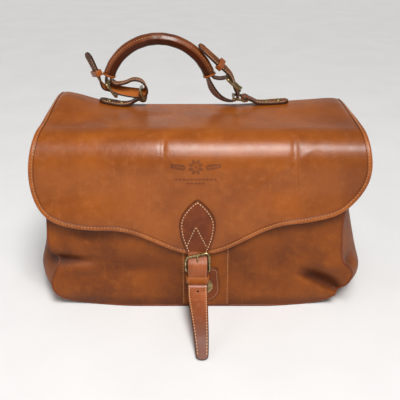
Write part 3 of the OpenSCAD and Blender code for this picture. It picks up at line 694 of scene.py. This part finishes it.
def flap_outline():
    """The flap's edge in (x, distance): back left, down the left side, along the scallop and up the right side."""
    xs = np.linspace(-158, 158, 120)
    front = np.vstack([smooth([(-195, 226), (-199, 208), (-201.5, 190), (-202, 176), (-200.5, 160), (-196, 146),
                               (-188.5, 134),
                               (-178, 125), (-166, 120.5), (-158, float(flap_low(-158)))], 6)[:-1],
                       np.stack([xs, flap_low(xs)], 1),
                       smooth([(158, float(flap_low(158))), (168, 134), (179, 143), (189.5, 154), (197, 166),
                               (201.5, 180), (202, 192),
                               (200.5, 208), (197, 226)], 6)[1:]])
    bend = run_at_z(225.5)
    front = np.stack([front[:, 0], run_at_z(front[:, 1])], 1)
    top = float(run_at_y(38.0))
    left = [(-181, 0), (-184, top * 0.3), (-189.5, top * 0.56), (-190.5, top * 0.85), (-191.5, top),
            (-194, (top + bend) / 2)]
    right = [(196.5, (top + bend) / 2), (194.5, top), (193.5, top * 0.85), (192.5, top * 0.56), (186, top * 0.3),
             (181, 0)]
    whole = np.vstack([left, front, right])
    whole = even(whole, 1400)
    soft = averaged(whole, 20, mode="edge")
    soft[:12], soft[-12:] = whole[:12], whole[-12:]
    return soft


OUTLINE = flap_outline()
OUT_IN = turned_in(OUTLINE, [0, OUTLINE[:, 1].mean()])
HINGE = ("bag", "flap", (0, 46, RIDGE_Z), (0, 14, RIDGE_Z))


def inside_edge(inset):
    """The flap's edge drawn in by inset along its own normals."""
    return OUTLINE + OUT_IN * inset


def flap_grid(inset, nu, nv, start=0.0):
    """The x and distance of a grid inside the flap's edge, from the distance start to the lower edge."""
    e = inside_edge(inset)
    corner = run_at_z(137.0)
    left, low, right = split(e, lambda q: q[:, 1] > corner)
    left, right = left[left[:, 1] >= start], right[right[:, 1] >= start][::-1]
    top = np.linspace(left[0], right[0], nu)
    return np.moveaxis(coons(top, even(low, nu), even(left, nv), even(right, nv)), -1, 0)


x, d = flap_grid(1.0, 190, 170)
flap_z = np.interp(d, RUN_S, RUN[:, 1])
# The flap's colour is made darker towards the sides, most on the right, and towards the lower edge.
flap_side_and_low_darkening = np.where(x > 0, 0.4, 0.12) * step(np.abs(x), 100, 190) + 0.2 * step(-flap_z, -130, -85)
piece("flap_leather", slab(on_flap(x, d, FLAP_SIDE), on_flap(x, d, -FLAP_SIDE)), SKIN, HINGE, ["flap", "top_yoke"],
      tone=np.concatenate([np.clip(flap_side_and_low_darkening, 0, 1).ravel()] * 2))

# The turned edge: a strip folded over the flap's rim, 6 mm wide on both faces
FOLD = np.array([(6, 1.25), (6, 1.9), (5.6, 2.25), (4.6, 2.3), (4.0, 2.05), (3.3, 2.3), (1.4, 2.3), (0.4, 2.0),
                 (-0.2, 1.2), (-0.4, 0),
                 (-0.2, -1.2), (0.4, -2.0), (1.4, -2.2), (5.6, -2.2), (6, -1.9), (6, -1.2), (1.2, -1.0), (1.2, 1.0)])
rows = OUTLINE[::2]
cols = OUT_IN[::2]
fx = rows[:, None, 0] + cols[:, None, 0] * FOLD[None, :, 0]
fd = np.maximum(rows[:, None, 1] + cols[:, None, 1] * FOLD[None, :, 0], 0)
piece("flap_binding_strip", tube(on_flap(fx, fd, np.broadcast_to(FOLD[None, :, 1], fx.shape))), EDGE_HIDE, HINGE,
      ["flap_binding"],
      tone=np.concatenate([np.tile([1.0, 0.9, 0.5] + [0.0] * 15, len(fx)), [0, 0]]))


def flap_normal(x, d):
    """The direction out of the flap, from two points one millimetre apart."""
    return unit(on_flap(x, d, 1.0) - on_flap(x, d, 0.0))


seam = inside_edge(4.0)[::3]
stitches("flap_edge_stitches", on_flap(*seam.T, 2.05), flap_normal(*seam.T), HINGE,
         pitch=3.9, length=2.4, width=0.85, thread=THREAD_TAN)

x = np.linspace(-177, 177, 120)
stitches("yoke_back_stitches", on_flap(x, 4.0 + 0 * x, FLAP_SIDE), (0, 1, 0), "bag", pitch=3.9, length=2.4, width=0.85,
         thread=THREAD_TAN)

hinge_d = float(run_at_y(24.0))
x, d = flap_grid(7.0, 110, 90, start=hinge_d)
flap_lining = piece("flap_lining_cloth", slab(on_flap(x, d, -1.45), on_flap(x, d, -2.0)), CLOTH, "flap",
                    ["flap_lining"])

# ---------------------------------------------------------------- leaf tab and closure

CLOSURE_X, STRAP_HALF = -3.0, 12.5


def leaf_outline(inset=0.0):
    """Half widths up the leaf: 11.9 + 10.1 sin(90 t) to its widest at 119 mm, then 22 cos(90 t)^0.8 to the point
    at 152."""
    t = np.linspace(0, 1, 16)
    low = np.stack([STRAP_HALF - 0.6 + 10.1 * np.sin(np.pi / 2 * t), 80 + (119 - 80) * t], 1)
    high = np.stack([22 * np.cos(np.pi / 2 * t) ** 0.8, 119 + 33 * t], 1)
    right = np.vstack([low, high[1:]])
    whole = np.vstack([right, (right * [-1, 1])[::-1][1:]])
    whole = even_outline(whole, 96)
    return whole + turned_in(whole, [0, 115], loose=False) * inset + [CLOSURE_X, 0]


def on_flap_z(x, z, h):
    """A point of the flap's front at height z before the lower edge is flared, h over the middle of its leather."""
    return on_flap(x, run_at_z(z), h)


piece("leaf_tab_leather", plate(leaf_outline(), on_flap_z, FLAP_SIDE, 3.7, edge=0.9, rings=10), BROWN_SKIN, "flap",
      ["leaf_tab"])
seam = leaf_outline(3.0)
seam = np.roll(seam, -np.argmin(np.abs(seam[:, 0] - CLOSURE_X) + seam[:, 1]), 0)
seam = seam[6:-6]
stitches("leaf_stitches", on_flap_z(*seam.T, 3.7), (0, -1, 0.03), "flap", pitch=3.8, length=2.2, width=1.25)
vee = even([(-16.5, 91), (-5, 117.5), (8, 91)], 40)
stitches("leaf_vee_stitches", on_flap_z(*vee.T, 3.7), (0, -1, 0.03), "flap", pitch=3.6, length=2.1, width=1.15)


def stamp_shapes():
    """The stamped rosette and sprigs: leaves |w| = a sin(pi t)^0.8 along a chord, turned by an angle, each one closed
    outline of (x, distance along the flap): petals in a ring, five leaves out each side, two bars of lozenges."""
    t = np.linspace(0, 1, 9)
    leaf = np.vstack([np.stack([t, np.sin(np.pi * t) ** 0.8], 1),
                      np.stack([t[::-1], -np.sin(np.pi * t[::-1]) ** 0.8], 1)[1:-1]])
    parts = [(0, 2, 2.8, 7.0, 2.1, k * 45 + 22.5) for k in range(8)]
    for side in (-1, 1):
        parts += [(side * (11 + 3.7 * k), 1.5 + 0.55 * k, 0.7, 6.4 - 0.6 * k, 1.3, 90 - side * (60 if m else 120))
                  for k in range(5) for m in (0, 1)]
    parts += [(k * 4.6 - 2.2, -13.0 - 5.0 * row, 0, 4.2, 1.0, 0) for row,
              n in ((0, 5), (1, 2)) for k in range(-n, n + 1)]
    outlines = []
    for x, d, gap, long, wide, turn in parts:
        c, s_ = math.cos(math.radians(turn)), math.sin(math.radians(turn))
        u, w = gap + leaf[:, 0] * long, leaf[:, 1] * wide
        outlines.append(np.stack([x + u * c - w * s_, -(d + u * s_ + w * c)], 1))
    ring = np.stack([2.1 * ROUND[:, 0], -2 + 2.1 * ROUND[:, 1]], 1)
    return outlines + [ring]


middle = float(run_at_z(190.0))
parts = [plate(even_outline(o, 16) + [-5, middle], on_flap, 1.0, 1.46, 0.12, 3) for o in stamp_shapes()]
piece("stamped_rosette", joined(*parts), [STAMP, STAMP, STAMP], "flap")


def strap(name, path, half, thick, across, mats, body, stands_for, flesh_below=True, edge=0.7, tone=None,
          hole=None):
    """A leather strap: a rounded rectangle carried along its path, its half width given at each point. Its two faces
    scale with the width, and its rounded rim keeps its size until the strap is under 3 mm."""
    half = np.asarray(half, float)[:, None]
    prof = rounded(10.0, thick / 2, edge, 4)
    top = np.nonzero(prof[:, 1] > thick / 2 - 1e-6)[0]
    low = np.nonzero(prof[:, 1] < -thick / 2 + 1e-6)[0]
    face = np.stack([np.linspace(0.75, -0.75, 6) * 10, np.full(6, thick / 2)], 1)
    order = np.vstack([prof[:top[0] + 1], face, prof[top[-1]:low[0] + 1], -face, prof[low[-1]:]])
    on_face = np.concatenate([np.zeros(top[0] + 1), np.ones(6), np.zeros(low[0] + 1 - top[-1]), np.ones(6),
                              np.zeros(len(prof) - low[-1])]) > 0
    a, b = order[None, :, 0], order[:, 1]
    rim = np.sign(a) * (half - (10.0 - np.abs(a)) * np.minimum(1, half / 3))
    wide = np.where(on_face[None], a / 10.0 * half, rim)
    profile = np.stack([wide, np.broadcast_to(b[None], wide.shape)], -1)
    after = np.roll(b, -1)
    is_top = np.minimum(b, after) > thick / 2 - 1e-3
    is_low = np.maximum(b, after) < 1e-3 - thick / 2
    index = np.where(is_top, 0 if flesh_below else 1, np.where(is_low, 1 if flesh_below else 0, 2))
    if tone is not None:
        tone = np.concatenate([np.repeat(tone, profile.shape[1]), tone[[0, -1]]])
    return piece(name, tube(carry(path, profile, across), index), mats, body, stands_for, tone=tone, hole=hole)


STRAP_YZ = smooth([(-82.5, 84.5), (-83.4, 80), (-86.5, 74.5), (-90, 69), (-91.7, 63.5), (-92, 57), (-92, 48),
                   (-92.4, 43.6), (-95, 40.2),
                   (-101, 37.8), (-112, 35), (-127, 31), (-143, 25), (-158, 17.6), (-173, 9), (-186, 1.8)], 8)
STRAP_YZ = even(STRAP_YZ, 150)
path = np.stack([CLOSURE_X + 5.5 * step(-STRAP_YZ[:, 0], 96, 186), STRAP_YZ[:, 0], STRAP_YZ[:, 1]], 1)
left_over = lengths(path)[-1] - lengths(path)
half = np.interp(-path[:, 1], [0, 108, 130, 180, 187], [12.5, 12.4, 11, 7.4, 6.8])
half = half * round_end(left_over, 4.5, 0.12)
# Painted shade: the strap's tail darkens towards its tip, where it turns down away from the light.
strap_tip_shade = 0.75 * step(-path[:, 1], 108, 160)
TAIL = ("flap", "tail", (0, -91, 50), (0, -94.6, 40.7))
strap("closing_strap_leather", path, half, 2.4, (1, 0, 0), [STRAP_HIDE, FLESH, BURNISH], TAIL,
      ["closing_strap", "strap_tail"],
      tone=strap_tip_shade, hole=((CLOSURE_X + 0.3, -101, 37.8), (0, -0.25, 0.97), 1.5))
for side, tag in ((-1, "left"), (1, "right")):
    keep = (left_over > 5) & (path[:, 2] < 56)
    seam = path[keep] + np.stack([side * (half[keep] - 2.2), 0 * half[keep], 0 * half[keep]], 1)
    up = np.cross((1.0, 0, 0), tangents(path)[keep])
    up *= np.sign(up[:, 2:] - up[:, 1:2])
    stitches(f"closing_strap_stitches_{tag}", seam + 1.2 * up, up, TAIL, pitch=3.9, length=2.2, width=1.15)

# ---------------------------------------------------------------- closure


def band(name, middle, u, v, half_u, half_v, r, wide, thick, mats, body, stands_for):
    """A closed strip of leather: a rounded rectangle about middle in the plane of u and v, with its section wide
    along u x v and thick across it."""
    u, v = unit(np.asarray(u, float)), unit(np.asarray(v, float))
    flat = even(np.vstack([rounded(half_u, half_v, r, 8), [(half_u, half_v - r)]]), 57)[:-1]
    path = np.asarray(middle, float) + flat[:, :1] * u + flat[:, 1:] * v
    section = rounded(wide / 2, thick / 2, min(0.6, thick / 2 - 0.05), 4)
    rings = carry(path, section, np.cross(u, v), closed=True)
    return piece(name, loop(rings), mats, body, stands_for)


band("strap_keeper_leather", (CLOSURE_X, -88.55, 50.0), (1, 0, 0), (0, 1, 0), 13.5, 5.7, 3.0, 8.6, 1.8, EDGE_HIDE,
     "flap",
     ["strap_keeper"])

chape = np.vstack([[(-12, 57.8)], arc((0, 33), 12, 180, 360, 22), [(12, 57.8)]])
chape = even_outline(chape, 60) + [CLOSURE_X, 0]
piece("buckle_chape_leather", plate(chape, lambda u, v, h: np.stack([u, -84 - h, v], -1), 0.0, 2.0), BROWN_SKIN, "flap",
      ["buckle_chape"])


def wire(path, r, squash, across=(0, 1, 0)):
    """Drawn wire along a path: a circle of radius r, or flattened across to an ellipse."""
    a = np.radians(np.arange(12) * 30)
    section = np.stack([r * squash * np.cos(a), r * np.sin(a)], 1)
    return loop(carry(path, section, across, closed=True))


# The closure's frame hangs askew: its far bar climbs to the right
frame_xz = smooth([(-17.2, 62), (-17.4, 70), (-17, 75.5), (-14.5, 78.6), (-9, 79.8), (0, 82), (6, 83.6), (9.4, 83.2),
                   (11.2, 80),
                   (11.5, 74), (11.4, 66), (11.2, 60.8), (9.6, 59), (6, 59), (-3, 59), (-12, 59), (-15.6, 59.2),
                   (-17.2, 62)], 6)
frame_xz = even(frame_xz, 97)[:-1]
frame_path = np.stack([frame_xz[:, 0], -87 + 0.4 * (frame_xz[:, 1] - 59) / 23, frame_xz[:, 1]], 1)
piece("closure_buckle_frame", wire(frame_path, 1.75, 1.05), BRASS, "flap", ["closure_buckle"],
      sharp=80)

snap = arc((4.5, 33), 11.5, 0, 352, 44)
piece("snap_plate_brass", plate(snap, on_front, 2.6, 3.4, 0.35), BRASS, "bag", ["snap_plate"],
      sharp=40)

# ---------------------------------------------------------------- handle

TOP_Y, TILT_Z = 60.0, 237.0
RING_X = {"left": -73.0, "right": 57.0}


def in_plane(xz, y=TOP_Y):
    """Points (x, z) put in the handle's upright plane."""
    return np.stack([xz[:, 0], np.full(len(xz), y), xz[:, 1]], 1)


angles = np.linspace(162, 18, 110)
grip = np.stack([-53 + 69 * np.cos(np.radians(angles)), 245.5 + 69 * np.sin(np.radians(angles))], 1)
a = np.radians(np.arange(36) * 10)
s = np.linspace(0, 1, 110)[:, None]
# Round the grip: 8 mm, with the closing seam as a low ridge in front, just below the middle
ridge = 1.1 * np.exp(-(((np.degrees(a) - 172) / 9) ** 2))[None]
ridge = ridge - 0.5 * np.exp(-(((np.degrees(a) - 200) / 14) ** 2))[None]
ends = 1 - 0.12 * np.exp(-((s / 0.02) ** 2)) - 0.12 * np.exp(-(((1 - s) / 0.02) ** 2))
radius = (7.8 + ridge + 0.12 * np.sin(s * 60 + 2 * np.sin(s * 13))) * ends
rings = carry(in_plane(grip), np.stack([radius * np.cos(a), radius * np.sin(a)], -1), (0, 1, 0))
# Painted shade: the grip's underside, away from the light above, is darkened through the tone attribute.
grip_underside_shade = np.where(np.cos(a) < 0, step(np.sin(a), 0.25, -0.05), step(np.sin(a), -0.1, -0.5))
tone = np.concatenate([np.tile(grip_underside_shade * 0.9, 110), [0.5, 0.5]])
piece("handle_cover_leather", tube(rings), HANDLE_HIDE, "handle", ["handle_cover"], tone=tone)
out = unit(np.cross(tangents(in_plane(grip)), (0, 1.0, 0)))
seam = in_plane(grip, TOP_Y - 6.9)[3:-3] + 4.3 * out[3:-3]
stitches("grip_stitches", seam, unit(out[3:-3] * 4.3 - [0, 6.9, 0]), "handle", pitch=3.6, length=2.2, width=0.8,
         thread=THREAD_TAN)
for tag, at in (("left", 0), ("right", -1)):
    t = unit(grip[1] - grip[0]) if at == 0 else unit(grip[-1] - grip[-2])
    mid = grip[at] + t * (1.2 if at == 0 else -1.2)
    band(f"grip_rim_{tag}", (mid[0], TOP_Y, mid[1]), (0, 1, 0), (-t[1], 0, t[0]), 8.0, 8.0, 7.9, 2.6, 1.3, EDGE_HIDE,
         "handle", ())


def rolled(path, degrees):
    """Directions across a strap in the handle's plane, turned about the strap's own line by an angle at each point."""
    up = unit(np.cross(tangents(path), (0, 1.0, 0)))
    r = np.radians(degrees)[:, None]
    return np.cos(r) * np.array([0, 1.0, 0]) + np.sin(r) * up


LEFT_STRAP = [(-115.8, 265.4), (-115, 260), (-109, 256.5), (-98, 258), (-87, 262), (-77, 260), (-71.5, 253),
              (-71.5, 246), (-76, 243.2),
              (-84, 243.6), (-95, 245), (-105, 247), (-112, 249.3), (-118.5, 250.6), (-125.5, 251.6), (-129.8, 257.5),
              (-133, 266),
              (-139, 281), (-146, 297)]
RIGHT_STRAP = [(9.8, 265.4), (12.5, 258), (17, 248), (24, 240), (33, 234.6), (42, 232.9), (48, 234.8), (50.2, 240),
               (49, 245.5),
               (46.5, 250.5), (44.3, 257), (42.3, 263), (38.8, 269.6), (32, 276.6), (22, 285.8), (10, 296.8),
               (-1.5, 307.3)]
# How far each strap has twisted, in degrees, at shares of its length
LEFT_ROLL = ((0, 0.22, 0.34, 0.42, 0.62, 0.72, 0.82, 1), (0, 0, -8, -38, -28, 0, 32, 40))
RIGHT_ROLL = ((0, 0.12, 0.3, 0.45, 0.6, 0.75, 1), (-10, -36, -24, -8, -10, -18, -14))
for tag, points, flesh_below in (("left", LEFT_STRAP, True), ("right", RIGHT_STRAP, False)):
    line = even(smooth(points, 8), 150)
    left_over = lengths(line)[-1] - lengths(line)
    half = 8 * round_end(left_over, 8, 0.03)
    share = lengths(line) / lengths(line)[-1]
    turn = np.interp(share, *(LEFT_ROLL if tag == "left" else RIGHT_ROLL))
    turn = averaged(turn[:, None], 9, mode="edge")[:, 0]
    across = rolled(in_plane(line), turn)
    strap(f"{tag}_handle_strap_leather", in_plane(line), half, 2.6, across, HARNESS_SKIN, "handle",
          [f"{tag}_handle_strap"], flesh_below)
    for side in (-1, 1):
        keep = left_over > 9
        up = unit(np.cross(tangents(in_plane(line)), across))[keep] * (1 if flesh_below else -1)
        seam = in_plane(line)[keep] + side * 6.2 * across[keep] + 1.3 * up
        stitches(f"{tag}_handle_strap_stitches_{'front' if side < 0 else 'back'}", seam, up, "handle", pitch=3.6,
                 width=0.7)
for tag, points in (("left", [(-121.6, 266.9), (-122.4, 264.4), (-122.4, 260.6)]),
                    ("right", [(15.8, 267.1), (19, 264.6), (26, 263.4), (32.8, 264.4)])):
    line = even(smooth(points, 8), 24)
    strap(f"{tag}_buckle_tab_leather", in_plane(line), np.full(24, 6.4), 2.6, (0, 1, 0), HARNESS_SKIN, "handle",
          [f"{tag}_buckle_tab"])
for tag, heel, far in (("left", (-122, 258.5), (-109.5, 241)), ("right", (35, 265), (52, 249))):
    heel, far = np.array([heel[0], 0, heel[1]]), np.array([far[0], 0, far[1]])
    out = unit(far - heel)
    ring = rounded(11.2, np.linalg.norm(far - heel) / 2, 3.4, 8)
    ring = even_outline(ring, 80)
    ring = (heel + far) / 2 + [0, TOP_Y, 0] + ring[:, :1] * [0, 1, 0] + ring[:, 1:] * out
    piece(f"{tag}_handle_buckle_frame", wire(ring, 1.75, 1.1, across=np.cross(out, (0, 1, 0))), BRASS, "handle",
          [f"{tag}_handle_buckle"], sharp=80)
for tag, mid, angle, turn in (("left", (-134.7, 270.2), 112, 32), ("right", (26.6, 281.5), 137, -17)):
    c, s_ = math.cos(math.radians(angle)), math.sin(math.radians(angle))
    way = np.array([[0, 0, 0], [c, 0, s_], [2 * c, 0, 2 * s_]])
    wide = rolled(way, np.full(3, float(turn)))[1]
    band(f"{tag}_handle_keeper_leather", (mid[0], TOP_Y, mid[1]), wide, np.cross(way[1], wide), 9.8, 3.8, 2.0, 7.6,
         1.6, EDGE_HIDE,
         "handle", [f"{tag}_handle_keeper"])


def ridge_lift(x):
    """How much the ridge rises at x over its middle."""
    return np.interp(x, RIDGE_LIFT[:, 0], RIDGE_LIFT[:, 1])


for tag, ring_x in RING_X.items():
    side = 1 if tag == "right" else -1
    line = smooth([(60, 229.0), (44, 229.0), (28, 229.2), (19, 230.7), (12, 234.6), (6.8, TILT_Z)], 8)
    line = even(np.stack([ring_x + side * line[:, 0], line[:, 1]], 1), 70)
    line[:, 1] += ridge_lift(line[:, 0]) * step(np.abs(line[:, 0] - ring_x), 10, 26)
    from_end = lengths(line)
    half = 9.5 * round_end(from_end, 8, 0.03) - 1.5 * step(from_end, 20, 40)
    strap(f"{tag}_chape_leather", in_plane(line), half, 3.3, (0, 1, 0), [HARNESS, BROWN_HIDE, BURNISH], "bag",
          [f"{tag}_chape"],
          flesh_below=side < 0)
    up = np.stack([-tangents(line)[:, 1], np.zeros(len(line)), tangents(line)[:, 0]], 1)
    up *= np.sign(up[:, 2:])
    keep = (from_end > 5) & (from_end < 44)
    for edge_side, where in ((-1, "front"), (1, "back")):
        seam = in_plane(line[keep]) + 1.65 * up[keep]
        seam[:, 1] += edge_side * (half[keep] - 2.2)
        stitches(f"{tag}_chape_stitches_{where}", seam, up[keep], "bag", pitch=3.4, width=0.9)
    a = np.radians(np.linspace(0, 360, 37)[:-1])
    turn = np.stack([ring_x + side * (1.4 + 3.4 * np.cos(a) * np.where(np.cos(a) > 0, 1.6, 1)),
                     TILT_Z + 3.2 * np.sin(a)], 1)
    rings = carry(in_plane(turn), rounded(8, 0.9, 0.5, 4), (0, 1, 0), closed=True)
    piece(f"{tag}_chape_loop_leather", loop(rings), HARNESS, "handle", [f"{tag}_chape_loop"])

domes = []
for x in (-120, -104, 88, 104):
    r = np.array([4.0, 4.0, 3.6, 2.6, 1.2, 0.2])[:, None, None]
    h = np.array([-0.2, 0.3, 0.9, 1.35, 1.6, 1.65])[:, None, None]
    ring = np.concatenate([r * np.cos(a)[None, :, None], r * np.sin(a)[None, :, None],
                           np.broadcast_to(h, (6, len(a), 1))], 2)
    domes.append(tube(ring + [x, TOP_Y, 230.9 + float(ridge_lift(x))]))
piece("chape_rivets_brass", joined(*domes), BRASS, "bag", ["chape_rivets"], sharp=80)

# ---------------------------------------------------------------- linings


def lining(name, outer, inner, node_name):
    """A cloth lining glued to the leather behind it."""
    o = piece(name, slab(outer, inner), CLOTH, "bag", [node_name])
    return o


def cut_area(points):
    """Area of a finished grid, not of its flat pattern, so it can't show a stretch: half the cross products of each
    quad's two diagonals, summed, in square metres. It is worked out once below, for the flap's lining, and not kept."""
    a, b = points[1:, 1:] - points[:-1, :-1], points[1:, :-1] - points[:-1, 1:]
    return float(np.linalg.norm(np.cross(a, b), axis=-1).sum() / 2) * MM * MM


x, z = panel_grid(np.stack([FRONT_SEAM[:, 0] * 0.965, 6 + (FRONT_SEAM[:, 1] - 0.6) * 184 / 193.4], 1), 20, 90, 50)
sheet_grid = on_front(x, z, -2.5)
lining("front_lining_cloth", sheet_grid, on_front(x, z, -3.1), "front_lining")
x, z = panel_grid(panel_edge(174, 46, 6.5, 208), 20, 90, 50)
sheet_grid = on_back(x, z, -2.5)
lining("back_lining_cloth", sheet_grid, on_back(x, z, -3.1), "back_lining")
x, d = flap_grid(7.0, 60, 50, start=hinge_d)
min(0.0935, cut_area(on_flap(x, d, -1.5)))
heights = np.linspace(7, 163, 40)
reach = np.interp(heights, [7, 14, 25, 38, 163], [180, 193, 202, 205.5, gusset_half(163.0) - 3])
u = np.linspace(-1, 1, 110)[:, None]
bow = 3.0 * np.sin(np.pi * u) * step(heights, 20, 150)[None]
sheet_grid = np.stack([u * reach[None], bow - 0.3, np.broadcast_to(heights, bow.shape)], -1)
divider_back = sheet_grid + [0, 0.9, 0]
divider = piece("divider_cloth", slab(sheet_grid, divider_back), CLOTH, "bag", ["divider"])
px, pz = np.meshgrid(np.linspace(-100, 100, 50), np.linspace(60, 170, 30), indexing="ij")
slack = 1.6 * np.cos(np.pi * px / 200) * step(pz, 60, 168)
pocket = piece("inner_pocket_cloth", slab(on_back(px, pz, -3.6 - slack), on_back(px, pz, -4.3 - slack)), CLOTH, "bag",
               ["inner_pocket"])

# CAD parts that keep their own mesh
for names, material in ((("closure_prong", "snap_boss", "snap_stud", "left_ring", "right_ring",
                          "left_handle_prong", "right_handle_prong"), BRASS),
                        (("base_board", "ridge_bar"), BOARD), (("handle_core",), CORD)):
    for name in names:
        for s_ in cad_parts[name].material_slots:
            s_.material = material

# ---------------------------------------------------------------- studio

camera = linked("camera", bpy.data.cameras.new("camera"))
camera.data.lens, camera.data.sensor_width = 59.04, 36.0
camera.data.clip_start, camera.data.clip_end = 0.01, 50.0
target = Vector((0, -0.078, 0.152))
tilt = math.radians(25)
camera.location = target + 0.780 * Vector((0, -math.cos(tilt), math.sin(tilt)))
camera.rotation_euler = (target - camera.location).to_track_quat("-Z", "Y").to_euler()
bpy.context.scene.camera = camera


def floor_shape(n=64):
    """The floor: flat at z = 0 to 3 m from the bag, then a quarter circle of 2 m curving up all round."""
    turn = np.linspace(0, 2 * np.pi, n, endpoint=False)[None]
    out = np.concatenate([np.linspace(1, 3000, 30), 3000 + 2000 * np.sin(np.linspace(0.05, np.pi / 2, 20))])[:, None]
    z = 2000 - np.sqrt(np.clip(2000.0**2 - np.maximum(0, out - 3000) ** 2, 0, None))
    return np.stack([out * np.cos(turn), out * np.sin(turn), z + 0 * turn], -1)


def floor_material():
    """Matt white board, with clouds a hand wide too faint to read as a pattern."""
    mat, t, place = blank("matt_white_board")
    tint = mix(t, noise(t, place, 1000 / 9, 3.0), linear("#d3d2d0"), linear("#dedddb"))
    shade(t, Base_Color=tint, Roughness=0.6)
    return mat


mesh = bpy.data.meshes.new("floor")
points = floor_shape()
mesh.from_pydata((points.reshape(-1, 3) * MM).tolist(), [],
                 grid_faces(50, 64, wrap_v=True).tolist() + [list(range(64))])
mesh.materials.append(floor_material())
mesh.shade_smooth()
linked("floor", mesh)


def lamp(name, place, aim, wide, tall, power, tint="#ffffff"):
    """A soft box of that width and height in metres, aimed at a point."""
    data = bpy.data.lights.new(name, "AREA")
    data.shape, data.size, data.size_y, data.energy, data.color = "RECTANGLE", wide, tall, power, linear(tint)[:3]
    o = linked(name, data)
    o.location = place
    o.rotation_euler = (Vector(aim) - Vector(place)).to_track_quat("-Z", "Y").to_euler()


lamp("key_box", (0.10, -0.86, 1.30), (0.02, -0.05, 0.2), 0.36, 1.2, 14)
lamp("left_box", (-1.3, -0.9, 0.9), (0, 0, 0.12), 0.7, 0.7, 4)
sun = linked("sky_light", bpy.data.lights.new("sky_light", "SUN"))
sun.data.energy, sun.data.angle = 2.3, math.radians(22)
sun.rotation_euler = Vector((-0.2, 0.62, -1)).to_track_quat("-Z", "Y").to_euler()
world = bpy.data.worlds.new("studio")
world.use_nodes = True
world.node_tree.nodes["Background"].inputs[0].default_value = linear("#f4f4f6")
world.node_tree.nodes["Background"].inputs[1].default_value = 0.24
bpy.context.scene.world = world
bpy.context.scene.view_settings.view_transform = "Standard"
